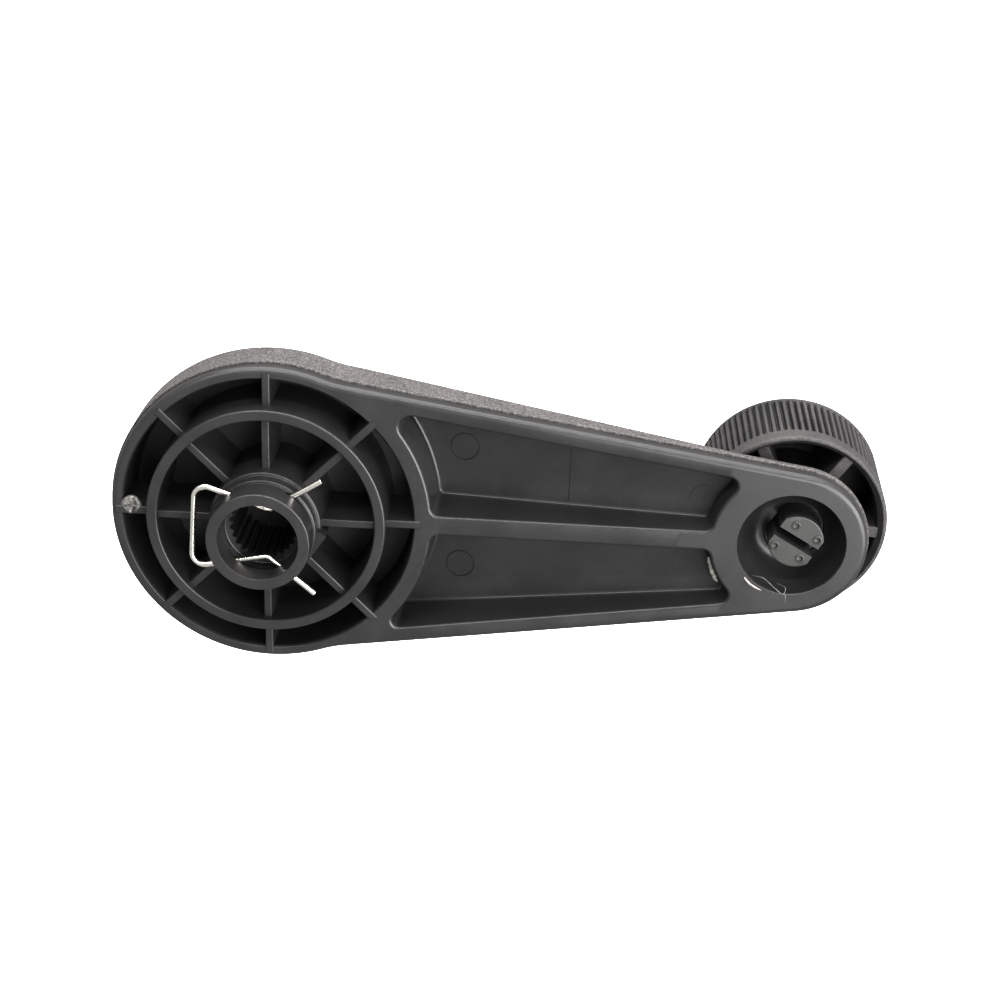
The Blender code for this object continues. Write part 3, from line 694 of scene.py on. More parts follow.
@dataclass
class HandleArm:
    """The moulded arm: a crowned, grained outside with a smooth hollowed back."""

    hub: HubSizes = HubSizes()
    pocket: PocketSizes = PocketSizes()
    seat: SeatSizes = SeatSizes()
    tip_radius: float = 14.7 * MM
    neck_radius: float = 26.0 * MM
    flank_angle: float = math.radians(8.5)
    hub_wall: float = 9.9 * MM
    tip_wall: float = 3.5 * MM
    taper_from: float = 12.0 * MM
    taper_to: float = 84.0 * MM
    front_width: float = 4.0 * MM
    front_depth: float = 3.6 * MM
    hub_crown: float = 1.2 * MM
    tip_crown: float = 0.8 * MM
    rim_step: float = 0.4 * MM
    rim_round: float = 1.2 * MM
    parting: float = 2.6 * MM
    parting_jog: float = 0.35 * MM
    parting_jog_at: float = math.radians(101.0)
    parting_jog_slope: float = 32.0
    # each wave's height, length and phase along the arm
    parting_waves: tuple[Corner, ...] = ((0.05 * MM, 4.1 * MM, 0.0), (0.04 * MM, 1.7 * MM, 1.0))
    parting_groove: float = 0.3 * MM
    parting_lip: float = 0.12 * MM
    # each ejector mark's station, its place across the arm, and its depth as a share of the usual one
    ejectors: tuple[Corner, ...] = (
        (36.5 * MM, 12.8 * MM, 1.0), (36.2 * MM, -12.0 * MM, 1.2), (82.3 * MM, 6.6 * MM, 0.5))

    def __post_init__(self) -> None:
        """Take the hub's radius and the tip's and knob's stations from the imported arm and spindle."""
        low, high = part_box("handle_arm")
        knob_low, knob_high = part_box("knob_spindle")
        self.hub_radius = -low.x
        self.tip_x = high.x - self.tip_radius
        self.knob_x = (knob_low.x + knob_high.x) / 2.0

    # -- the outside

    def flank(self, x: float) -> float:
        """Half the arm's width along its straight flank at station x."""
        return self.tip_radius / math.cos(self.flank_angle) + math.tan(self.flank_angle) * (self.tip_x - x)

    def neck(self) -> tuple[float, float]:
        """Find the centre of the hollow curve between the hub and the straight flank.

        Returns:
            The point whose circle touches both.
        """
        slope = math.tan(self.flank_angle)
        rise = self.flank(0.0) + self.neck_radius / math.cos(self.flank_angle)
        reach = self.hub_radius + self.neck_radius
        a = 1.0 + slope * slope
        b = -2.0 * slope * rise
        c = rise * rise - reach * reach
        x = (-b + math.sqrt(b * b - 4.0 * a * c)) / (2.0 * a)
        return x, rise - slope * x

    def outline(self) -> tuple[Outline, list[float]]:
        """Draw the arm's outline.

        Returns:
            Its points, and for each the station on the centre line that it belongs to.
        """
        tip_steps, flank_steps, neck_steps, hub_steps = 32, 30, 16, 84
        tilt = self.flank_angle
        neck_x, neck_y = self.neck()
        hub_end = math.atan2(neck_y, neck_x)
        flank_from = neck_x - self.neck_radius * math.sin(tilt)
        flank_to = self.tip_x + self.tip_radius * math.sin(tilt)
        flank_station = flank_from - self.flank(flank_from) * math.tan(tilt)
        hub_edge = self.hub_radius * math.cos(hub_end)
        half = [(x, y, self.tip_x)
                for x, y in arc((self.tip_x, 0.0), self.tip_radius, 0.0, math.pi / 2.0 - tilt, tip_steps)]
        for i in range(1, flank_steps):
            x = flank_to + (flank_from - flank_to) * i / flank_steps
            half.append((x, self.flank(x), x - self.flank(x) * math.tan(tilt)))
        for x, y in arc((neck_x, neck_y), self.neck_radius, -math.pi / 2.0 - tilt, hub_end - math.pi,
                        neck_steps)[:-1]:
            share = min(1.0, max(0.0, (x - hub_edge) / (flank_from - hub_edge)))
            half.append((x, y, share * flank_station))
        half += [(x, y, 0.0) for x, y in arc((0.0, 0.0), self.hub_radius, hub_end, math.pi, hub_steps)]
        whole = half + [(x, -y, station) for x, y, station in reversed(half[1:-1])]
        return [(x, y) for x, y, _ in whole], [station for _, _, station in whole]

    def taper(self, station: float) -> float:
        """0 at the hub, 1 at the tip."""
        return min(1.0, max(0.0, (station - self.taper_from) / (self.taper_to - self.taper_from)))

    def parting_depth(self, x: float, y: float) -> float:
        """How deep the mould's parting line lies beside a point. It wanders, and jogs above the hub.

        Args:
            x: The point's station.
            y: Its place across the arm.

        Returns:
            The depth below the back rim.
        """
        turn = math.atan2(y, x) - self.parting_jog_at
        past = 1.0 / (1.0 + math.exp(turn * self.parting_jog_slope)) if y > 0.0 else 0.5
        wander = sum(height * math.sin(x / length + phase) for height, length, phase in self.parting_waves)
        return self.parting + self.parting_jog * (past - 0.5) + wander

    def blank(self) -> bmesh.types.BMesh:
        """Draw the arm before its back is hollowed.

        Returns:
            The rounded back rim, parting line, side wall, rounded front edge and crowned front.
        """
        outline, stations = self.outline()
        rim = moved_in(outline, self.rim_step)
        depths = [self.parting_depth(x, y) for x, y in outline]
        loops: list[Loop] = []
        faces: list[Face] = []
        rim_steps, front_steps, crown_steps = 7, 8, 9
        for i in range(rim_steps + 1):
            angle = math.pi / 2.0 * i / rim_steps
            edge = moved_in(outline, self.rim_step + self.rim_round * (1.0 - math.sin(angle)))
            loops.append([(x, y, -self.rim_round * (1.0 - math.cos(angle))) for x, y in edge])
        groove = moved_in(rim, self.parting_groove)
        lip = moved_in(outline, self.parting_lip)
        # each loop's drop below the parting line: the rim's foot, the groove and the grained wall's lip
        for ring, drop in ((rim, -0.12 * MM), (groove, 0.0), (groove, 0.1 * MM), (lip, 0.14 * MM),
                           (outline, 0.3 * MM)):
            loops.append([(x, y, -depth - drop) for (x, y), depth in zip(ring, depths)])
        faces += [Face.SMOOTH] * (len(loops) - 3) + [Face.GRAINED] * 2
        for i in range(front_steps + 1):
            angle = math.pi / 2.0 * i / front_steps
            edge = moved_in(outline, self.front_width * (1.0 - math.cos(angle)))
            loops.append([(x, y, -self.wall(s) - self.front_depth * math.sin(angle))
                          for (x, y), s in zip(edge, stations)])
        face = moved_in(outline, self.front_width)
        for i in range(crown_steps - 1, -1, -1):
            share = i / crown_steps
            loops.append([(s + (x - s) * share, y * share,
                           -self.wall(s) - self.front_depth - self.crown(s) * (1.0 - share * share))
                          for (x, y), s in zip(face, stations)])
        faces += [Face.GRAINED] * (len(loops) - 1 - len(faces))
        return lofted(loops, faces, capped=False)

    def wall(self, station: float) -> float:
        """Depth of the side wall before its front edge rounds over."""
        return self.hub_wall + (self.tip_wall - self.hub_wall) * self.taper(station)

    def crown(self, station: float) -> float:
        """Rise of the front face over its edge."""
        return self.hub_crown + (self.tip_crown - self.hub_crown) * self.taper(station)

    # -- the pockets

    def pocket_outline(self, side: Side, inset: float) -> Outline:
        """Draw one pocket's outline, moved in by a distance.

        Args:
            side: The side of the web.
            inset: How far every side moves inward. A negative value widens the pocket.

        Returns:
            Four rounded corners, joined by the web, an arc round the tip, the flank and an arc round
            the hub.
        """
        sizes = self.pocket
        near, far, web = sizes.hub_radius + inset, sizes.tip_radius + inset, sizes.web_half + inset
        small = max(sizes.corner - inset, sizes.smallest_corner)
        large = max(sizes.shoulders[0 if side is Side.UPPER else 1] - inset, sizes.smallest_corner)
        tilt = math.pi / 2.0 - self.flank_angle
        flank = self.flank(0.0) * math.cos(self.flank_angle) - sizes.rim - inset
        tip_flank = flank - self.tip_x * math.cos(tilt)
        web_near = (math.sqrt((near + small) ** 2 - (web + small) ** 2), web + small)
        web_far = (self.tip_x - math.sqrt((far + small) ** 2 - (web + small) ** 2), web + small)
        far_turn = tilt + math.acos((tip_flank - small) / (far + small))
        near_turn = tilt - math.acos((flank - large) / (near + large))
        flank_far = (self.tip_x + (far + small) * math.cos(far_turn), (far + small) * math.sin(far_turn))
        flank_near = ((near + large) * math.cos(near_turn), (near + large) * math.sin(near_turn))
        hub_angle = math.atan2(web_near[1], web_near[0])
        tip_angle = math.atan2(web_far[1], web_far[0] - self.tip_x)
        corner_steps, arc_steps = 8, 10
        points = arc(web_near, small, hub_angle + math.pi, math.tau * 0.75, corner_steps)
        points += arc(web_far, small, math.tau * 0.75, tip_angle + math.pi, corner_steps)
        points += arc((self.tip_x, 0.0), far, tip_angle, far_turn, arc_steps)[1:-1]
        points += arc(flank_far, small, far_turn + math.pi, math.tau + tilt, corner_steps)
        points += arc(flank_near, large, tilt, near_turn + math.pi, corner_steps)
        points += arc((0.0, 0.0), near, near_turn, hub_angle, arc_steps)[1:-1]
        return [(x, y * side.value) for x, y in points]

    def pocket_tool(self, side: Side) -> bmesh.types.BMesh:
        """Draw the tool that cuts one pocket.

        Args:
            side: The side of the web.

        Returns:
            A drafted body with a filleted floor and a flared mouth.
        """
        sizes = self.pocket
        loops: list[Loop] = []

        def level(inset: float, height: float, sloped: bool) -> None:
            """Add one loop, level with the rim or following the floor."""
            loops.append([(x, y, height + (sizes.floor(x) if sloped else 0.0))
                          for x, y in self.pocket_outline(side, inset)])

        for i in range(EDGE_STEPS + 1):
            angle = math.pi / 2.0 * i / EDGE_STEPS
            level(sizes.draft + sizes.floor_fillet * (1.0 - math.sin(angle)),
                  sizes.floor_fillet * (1.0 - math.cos(angle)), True)
        for i in range(EDGE_STEPS + 1):
            angle = FLARE_ANGLE * i / EDGE_STEPS
            level(-sizes.mouth_round * (1.0 - math.cos(angle)),
                  -sizes.mouth_round * (1.0 - math.sin(angle)), False)
        flare = sizes.mouth_round * (1.0 - math.cos(FLARE_ANGLE)) + EMBED * math.sin(FLARE_ANGLE)
        level(-flare, EMBED * math.cos(FLARE_ANGLE), False)
        level(-flare, OVERSHOOT, False)
        return lofted(loops)

    def floor_disc(self, x: float, y: float, radius: float, low: float, high: float) -> bmesh.types.BMesh:
        """Draw a disc that follows a pocket's sloped floor.

        Args:
            x: Its station.
            y: Its place across the arm.
            radius: Its radius.
            low: Its lower face's height over the floor.
            high: Its upper face's height over the floor.

        Returns:
            The disc.
        """
        ring = arc((x, y), radius, 0.0, math.tau, SMALL_STEPS)[:-1]
        return lofted([[(u, v, self.pocket.floor(u) + height) for u, v in ring] for height in (low, high)])

    def mark_ejector(self, work: Workpiece, x: float, y: float, share: float) -> None:
        """Press the ring that an ejector pin leaves in a pocket's floor.

        Args:
            work: The arm in the making.
            x: The pin's station.
            y: Its place across the arm.
            share: The mark's depth as a share of the usual one.
        """
        sizes = self.pocket
        inner = sizes.ejector_radius - sizes.ejector_gap
        work.work(Tool.CUT, self.floor_disc(x, y, sizes.ejector_radius, -sizes.ejector_sink * share, EMBED))
        work.work(Tool.JOIN, self.floor_disc(x, y, inner, -EMBED, -sizes.ejector_drop))

    def step_tool(self) -> bmesh.types.BMesh:
        """Draw the fine line where two mould inserts meet across the upper pocket's floor.

        Returns:
            A thin bar that cuts a shallow groove.
        """
        sizes = self.pocket
        x, half = sizes.step_at, sizes.step_width / 2.0
        low, high = sizes.web_half + sizes.draft + EMBED, self.flank(x) - sizes.rim - sizes.draft - EMBED
        floor = sizes.floor(x)
        return lofted([[(x - half, low, z), (x + half, low, z), (x + half, high, z), (x - half, high, z)]
                       for z in (floor - sizes.step_sink, floor + EMBED)])

    # -- the hub

    def mouth(self, radius: float, softness: float) -> list[Corner]:
        """The last corners of a turned cutting profile that flares open at the rim.

        Args:
            radius: The hole's radius at the rim.
            softness: The mouth's rounding.

        Returns:
            The rounded mouth, a gently rising flare and the closed top.
        """
        flare = radius + 2.0 * softness
        return [(radius, 0.0, softness), (flare, 2.0 * softness / math.tan(FLARE_ANGLE), 0.0),
                (flare, OVERSHOOT, 0.0), (0.0, OVERSHOOT, 0.0)]

    def cavity_tool(self) -> bmesh.types.BMesh:
        """Draw the tool that hollows the hub.

        Returns:
            A drafted disc with a filleted floor and a flared mouth.
        """
        hub = self.hub
        return turned(soften([
            (0.0, -hub.cavity_depth, 0.0),
            (hub.cavity_radius - hub.cavity_draft, -hub.cavity_depth, hub.floor_fillet),
            *self.mouth(hub.cavity_radius, hub.mouth_round)]))

    def ring(self) -> bmesh.types.BMesh:
        """Draw the ring that ties the hub's ribs together.

        Returns:
            A closed ring with softened edges.
        """
        hub = self.hub
        root = -hub.cavity_depth - EMBED
        return turned(soften([
            (hub.ring_inner - hub.rib_draft, root, 0.0), (hub.ring_outer + hub.rib_draft, root, 0.0),
            (hub.ring_outer, hub.ring_height, hub.ring_edge),
            (hub.ring_inner, hub.ring_height, hub.ring_edge)], closed=True), closed=True)

    def ribs(self) -> bmesh.types.BMesh:
        """Draw the hub's radial ribs, inside and outside the ring.

        Returns:
            Sixteen bars with softened tops.
        """
        hub = self.hub
        root = -hub.cavity_depth - EMBED
        bm = bmesh.new()
        spans = (((hub.boss_radius - EMBED, hub.ring_inner + EMBED), hub.inner_rib_top),
                 ((hub.ring_outer - EMBED, hub.outer_rib_end), hub.outer_rib_top))
        for reach, top in spans:
            section = soften([
                (-hub.rib_half - hub.rib_draft, root, 0.0), (hub.rib_half + hub.rib_draft, root, 0.0),
                (hub.rib_half, top, hub.rib_edge), (-hub.rib_half, top, hub.rib_edge)], closed=True)
            for i in range(hub.ribs):
                bar(bm, reach, section, math.tau * i / hub.ribs)
        return bm

    def boss(self) -> bmesh.types.BMesh:
        """Draw the boss with its collar, shoulder and end face.

        Returns:
            A solid boss, rooted in the hub's floor.
        """
        hub = self.hub
        root = -hub.cavity_depth - EMBED
        groove = hub.boss_radius - hub.groove_depth
        return turned(soften([
            (0.0, root, 0.0), (hub.collar_radius + hub.rib_draft, root, 0.0),
            (hub.collar_radius, hub.collar_height, 0.3 * MM),
            (hub.shoulder_radius, hub.collar_height, 0.15 * MM),
            (hub.shoulder_radius, hub.shoulder_height, 0.25 * MM),
            (groove, hub.shoulder_height + 0.05 * MM, 0.1 * MM),
            (groove, hub.shoulder_height + 0.45 * MM, 0.1 * MM),
            (hub.boss_radius, hub.shoulder_height + 0.75 * MM, 0.1 * MM),
            (hub.boss_radius, hub.boss_height, 0.3 * MM), (0.0, hub.boss_height, 0.0)], steps=3))

    def bore_tool(self) -> bmesh.types.BMesh:
        """Draw the plain bore at the boss's end, with its softened mouth.

        Returns:
            A plug with a flared mouth.
        """
        hub = self.hub
        mouth = 0.25 * MM
        rise = 2.0 * mouth / math.tan(FLARE_ANGLE)
        return turned(soften([
            (0.0, hub.bore_floor, 0.0), (hub.bore_radius - 0.1 * MM, hub.bore_floor, 0.3 * MM),
            (hub.bore_radius, hub.boss_height, mouth),
            (hub.bore_radius + 2.0 * mouth, hub.boss_height + rise, 0.0),
            (hub.bore_radius + 2.0 * mouth, hub.boss_height + OVERSHOOT, 0.0),
            (0.0, hub.boss_height + OVERSHOOT, 0.0)]))

    def spline_tool(self) -> bmesh.types.BMesh:
        """Draw the toothed bore that grips the window regulator's spindle.

        Returns:
            A toothed body with a worn, uneven entry.
        """
        hub = self.hub
        per_tooth, steepness, lobes = 8, 1.6, 3.0
        worn_evenly, worn_unevenly, worn_flat = 0.4, 1.1, 0.8 / MM
        count = hub.spline_teeth * per_tooth
        middle = (hub.spline_major + hub.spline_minor) / 2.0
        swing = (hub.spline_major - hub.spline_minor) / 2.0
        # each level's height, and how far its teeth are worn open
        levels = ((hub.spline_floor, 0.0), (hub.bore_floor - 1.0 * MM, 0.0),
                  (hub.bore_floor - 0.35 * MM, 0.15 * MM), (hub.bore_floor + 0.02 * MM, 0.45 * MM),
                  (hub.bore_floor + OVERSHOOT, 0.45 * MM))
        loops: list[Loop] = []
        for height, worn in levels:
            loop: Loop = []
            for i in range(count):
                angle = math.tau * i / count
                wave = math.sin(angle * hub.spline_teeth)
                tooth = swing * math.copysign(min(1.0, abs(wave) * steepness), wave)
                place = Vector((math.cos(angle) * lobes, math.sin(angle) * lobes, 0.5))
                chewed = worn * (worn_evenly + worn_unevenly * noise.noise(place))
                radius = middle + tooth * (1.0 - worn * worn_flat) + max(0.0, chewed)
                loop.append((radius * math.cos(angle), radius * math.sin(angle), height))
            loops.append(loop)
        return lofted(loops)

    def slot_tool(self) -> bmesh.types.BMesh:
        """Draw the two slots across the boss that take the clip's legs.

        Returns:
            Two bars that run right across the boss.
        """
        hub = self.hub
        reach = hub.collar_radius + OVERSHOOT
        bm = bmesh.new()
        for side in Side:
            low, high = sorted((hub.slot_inner * side.value, hub.slot_outer * side.value))
            bar(bm, (-reach, reach), [(low, hub.slot_low), (high, hub.slot_low),
                                      (high, hub.slot_high), (low, hub.slot_high)], 0.0)
        return bm

    def gusset(self) -> bmesh.types.BMesh:
        """Draw the small gusset between the boss and the rib that points along the arm.

        Returns:
            An upright wedge from the hub's floor to just over the collar.
        """
        hub = self.hub
        return lofted([[(x, y, z) for x, y in hub.gusset]
                       for z in (-hub.cavity_depth - EMBED, hub.collar_height + 0.1 * MM)])

    def collar_notch(self) -> bmesh.types.BMesh:
        """Draw the tool that opens a gap in the boss's collar above the gusset.

        Returns:
            A wedge outside the shoulder, open to below.
        """
        hub = self.hub
        start, end = hub.notch_turns
        inner = arc((0.0, 0.0), hub.shoulder_radius, end, start, SMALL_STEPS // 4)
        outer = arc((0.0, 0.0), hub.collar_radius + OVERSHOOT, start, end, SMALL_STEPS // 4)
        return lofted([[(x, y, z) for x, y in inner + outer]
                       for z in (hub.inner_rib_top + 0.3 * MM, hub.shoulder_height)])

    # -- the tip

    def bowl_tool(self) -> bmesh.types.BMesh:
        """Draw the deep bowl in the arm's tip.

        Returns:
            A quarter-ellipse bowl with a flared mouth.
        """
        seat = self.seat
        profile: list[Corner] = [(0.0, -seat.bowl_depth, 0.0)]
        for i in range(seat.bowl_steps, 0, -1):
            angle = math.pi / 2.0 * i / seat.bowl_steps
            radius = seat.bowl_floor_radius + (seat.bowl_radius - seat.bowl_floor_radius) * math.cos(angle)
            profile.append((radius, -seat.bowl_depth * math.sin(angle), 0.0))
        profile += self.mouth(seat.bowl_radius, seat.mouth_round)
        return turned(soften(profile), centre=(self.tip_x, 0.0))

    def pad(self) -> bmesh.types.BMesh:
        """Draw the round pad on the arm's front that the knob runs against.

        Returns:
            A disc that is sunk into the front.
        """
        seat = self.seat
        return turned(soften([
            (0.0, -seat.pad_depth, 0.0), (seat.pad_radius, -seat.pad_depth, 0.3 * MM),
            (seat.pad_radius, -seat.pad_root, 0.0), (0.0, -seat.pad_root, 0.0)]), centre=(self.knob_x, 0.0))

    def hole_tool(self) -> bmesh.types.BMesh:
        """Draw the stepped hole for the spindle's shank and its head.

        Returns:
            A stepped plug, open at both ends.
        """
        seat = self.seat
        return turned(soften([
            (0.0, -seat.pad_depth - OVERSHOOT, 0.0), (seat.pin_hole, -seat.pad_depth - OVERSHOOT, 0.0),
            (seat.pin_hole, -seat.head_bore_depth, 0.2 * MM),
            (seat.head_bore, -seat.head_bore_depth, 0.2 * MM),
            (seat.head_bore, 0.0, 0.0), (0.0, 0.0, 0.0)]), SMALL_STEPS, centre=(self.knob_x, 0.0))

    def build(self) -> bpy.types.Object:
        """Make the arm.

        Returns:
            The finished piece, riding on the arm body.
        """
        work = Workpiece("arm_moulding", self.blank())
        work.work(Tool.CUT, self.cavity_tool())
        for side in Side:
            work.work(Tool.CUT, self.pocket_tool(side))
        for x, y, share in self.ejectors:
            self.mark_ejector(work, x, y, share)
        work.work(Tool.CUT, self.step_tool())
        for tool, drawing in (
                (Tool.JOIN, self.ring()), (Tool.JOIN, self.ribs()), (Tool.JOIN, self.boss()),
                (Tool.CUT, self.collar_notch()), (Tool.JOIN, self.gusset()), (Tool.CUT, self.bore_tool()),
                (Tool.CUT, self.spline_tool()), (Tool.CUT, self.slot_tool()), (Tool.JOIN, self.pad()),
                (Tool.CUT, self.bowl_tool()), (Tool.CUT, self.hole_tool())):
            work.work(tool, drawing)
        piece = work.release([BACK_PLASTIC, GRAIN_PLASTIC])
        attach(piece, "arm")
        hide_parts("handle_arm")
        return piece


@dataclass
class GateStub:
    """The rough stub where the plastic's feed was torn off the hub's rim."""

    x: float = -26.1 * MM
    y: float = 1.0 * MM
    radius: float = 1.9 * MM
    root: float = -0.5 * MM
    height: float = 0.28 * MM
    ragged: float = 0.09
    tear: float = 0.62 * MM
    tear_height: float = 0.24 * MM
    crease: float = 0.35 * MM
    crease_half: float = 0.22 * MM
    crease_at: float = 0.3

    def build(self) -> bpy.types.Object:
        """Make the stub.

        Returns:
            The finished piece, riding on the arm body.
        """
        rings, sides, lobes, rim_slope = 9, 48, 1.6, 5.0
        loops: list[Loop] = []
        for ring, height in [(1.0, self.root)] + [(1.0 - i / rings, None) for i in range(rings)]:
            loop: Loop = []
            for k in range(sides):
                angle = math.tau * k / sides
                lobe = Vector((math.cos(angle) * lobes, math.sin(angle) * lobes, 4.0))
                reach = self.radius * ring * (1.0 + self.ragged * noise.noise(lobe))
                u, v = reach * math.cos(angle), reach * math.sin(angle)
                torn = noise.noise(Vector((u, v, 0.0)) * (1.0 / self.tear))
                edge = min(1.0, (1.0 - ring) * rim_slope)
                fold = self.crease * math.exp(-((u - self.crease_at * self.radius) / self.crease_half) ** 2)
                rise = (self.height + self.tear_height * torn - fold) * edge
                loop.append((self.x + u, self.y + v, rise if height is None else height))
            loops.append(loop)
        piece = Workpiece("gate_stub", lofted(loops)).release([TORN_PLASTIC])
        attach(piece, "arm")
        return piece


@dataclass(frozen=True)
class MouldingFlash:
    """A thread of plastic squeezed out where the mould's parts meet, its route and width in mm."""

    name: str
    route: tuple[tuple[float, float, float], ...]
    width: float
    flatness: float = 0.5
    # the default finish is pale partly from the stretch and partly as a painted highlight
    finish: MouldedPlastic = FLASH_AND_GLINT_PLASTIC

    def build(self) -> bpy.types.Object:
        """Make the thread.

        Returns:
            The finished piece, riding on the arm body.
        """
        steps, sides, end, fullness, lumpiness, lumps_per_mm = 8, 10, 0.06, 0.6, 0.35, 1.9
        points = curve_through([Vector(point) * MM for point in self.route], steps)
        last = len(points) - 1
        radii: list[float] = []
        for i, point in enumerate(points):
            body = math.sin(math.pi * (end + (1.0 - 2.0 * end) * i / last)) ** fullness
            lumps = 1.0 + lumpiness * noise.noise(point / MM * lumps_per_mm)
            radii.append(self.width * MM / 2.0 * body * lumps)
        bm = bmesh.new()
        tube(bm, points, radii, Vector((0.0, 0.0, 1.0)), sides, self.flatness)
        piece = Workpiece(self.name, bm).release([self.finish])
        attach(piece, "arm")
        return piece


# the threads in the default pale finish carry painted highlights: the glints at the bore's mouth, the
# bowl's lip and the pocket's end
FLASH = (
    MouldingFlash("bore_mouth_flash_glint", ((0.0, 7.42, 11.6), (1.3, 7.1, 11.66), (2.7, 6.85, 11.62)), 0.5),
    MouldingFlash("dish_lip_flash_glint", ((90.5, -6.7, -0.1), (91.3, -7.8, 0.02), (92.6, -8.9, 0.02),
                                     (94.7, -9.9, -0.1)), 0.42),
    MouldingFlash("dish_curl_flash", ((92.3, -7.2, -1.2), (94.2, -7.3, -0.7), (95.3, -8.0, -0.5),
                                      (96.9, -9.3, -0.1), (98.3, -10.2, 0.05), (98.7, -9.0, -0.3),
                                      (97.2, -8.3, -0.6)), 0.2, finish=TORN_PLASTIC),
    MouldingFlash("dish_edge_flash", ((98.6, -9.9, 0.0), (98.8, -10.7, 0.06), (98.9, -11.8, 0.02)), 0.18,
                  finish=TORN_PLASTIC),
    MouldingFlash("pocket_end_flash_glint", ((83.9, -4.4, -2.6), (84.4, -6.3, -2.8), (85.2, -8.4, -2.9),
                                       (86.0, -9.7, -2.8)), 1.0, 0.8),
)


# ---------------------------------------------------------------- the spindle and the knob

@dataclass
class KnobSpindle:
    """The split pin that holds the knob: a slotted two-part head, a shank and a flange."""

    shank: float = 4.0 * MM
    head: float = 5.25 * MM
    head_top: float = -1.8 * MM
    head_bottom: float = -8.0 * MM
    head_edge: float = 0.25 * MM
    flat: float = 4.35 * MM
    slot_half: float = 0.95 * MM
    slot_floor: float = -14.0 * MM
    slot_turn: float = math.radians(-30.0)
    flange: float = 7.0 * MM
    flange_top: float = -26.3 * MM
    flange_bottom: float = -28.2 * MM
    dimple_radius: float = 0.58 * MM
    dimple_depth: float = 0.22 * MM
    dimple_lip: float = 0.14 * MM
    dimple_edge: float = 0.1 * MM
    dimple_spread: float = 1.55
    # each dimple's place along the slot and across it
    dimples: tuple[tuple[float, float], ...] = (
        (-1.9 * MM, 2.75 * MM), (3.1 * MM, 2.5 * MM), (-2.95 * MM, -2.75 * MM), (2.55 * MM, -2.4 * MM))

    def build(self) -> bpy.types.Object:
        """Make the spindle.

        Returns:
            The finished piece, riding on the arm body.
        """
        low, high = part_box("knob_spindle")
        centre = ((low.x + high.x) / 2.0, 0.0)
        edge = self.head_edge
        work = Workpiece("knob_spindle_pin", turned(soften([
            (0.0, self.flange_bottom, 0.0), (self.flange, self.flange_bottom, edge),
            (self.flange, self.flange_top, edge), (self.shank, self.flange_top, edge),
            (self.shank, self.head_bottom, 0.0), (self.head, self.head_bottom, edge),
            (self.head, self.head_top, edge), (0.0, self.head_top, 0.0)]), SMALL_STEPS, centre=centre))
        reach = self.head + OVERSHOOT
        slot = bmesh.new()
        bar(slot, (-reach, reach), slab(self.slot_half, self.slot_floor, OVERSHOOT), self.slot_turn, centre)
        work.work(Tool.CUT, slot)
        for turn in (self.slot_turn, self.slot_turn + math.pi):
            flats = bmesh.new()
            bar(flats, (self.flat, reach), slab(reach, self.head_bottom - EMBED, OVERSHOOT), turn, centre)
            work.work(Tool.CUT, flats)
        for along, across in self.dimples:
            work.work(Tool.JOIN, self.dimple(centre, along, across, self.dimple_lip, self.dimple_spread))
            work.work(Tool.CUT, self.dimple(centre, along, across, OVERSHOOT, 1.0))
        piece = work.release([SPINDLE_PLASTIC])
        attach(piece, "arm")
        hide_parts("knob_spindle")
        return piece

    def dimple(self, centre: tuple[float, float], along: float, across: float, top: float,
               spread: float) -> bmesh.types.BMesh:
        """Draw the lip or the pit of one dimple in the head.

        Args:
            centre: The spindle's axis.
            along: The dimple's place along the slot.
            across: Its place across the slot.
            top: Its height over the head's face.
            spread: Its radius as a share of the pit's.

        Returns:
            A short round plug with a softened end.
        """
        cosine, sine = math.cos(self.slot_turn), math.sin(self.slot_turn)
        spot = (centre[0] + along * cosine - across * sine, along * sine + across * cosine)
        radius, edge = self.dimple_radius * spread, self.dimple_edge
        low, high = self.head_top - self.dimple_depth, self.head_top + top
        profile = [(0.0, low, 0.0), (radius, low, edge), (radius, high, edge), (0.0, high, 0.0)]
        return turned(soften(profile, steps=3), SMALL_STEPS // 3, centre=spot)


def knob_axis() -> tuple[float, float]:
    """Read where the knob's axis stands.

    Returns:
        Its station and its place across the arm, from the knob's joint.
    """
    spin = next(joint for joint in frame["joints"] if joint["name"] == "knob_spin")
    return (spin["pos_m"][0], spin["pos_m"][2])


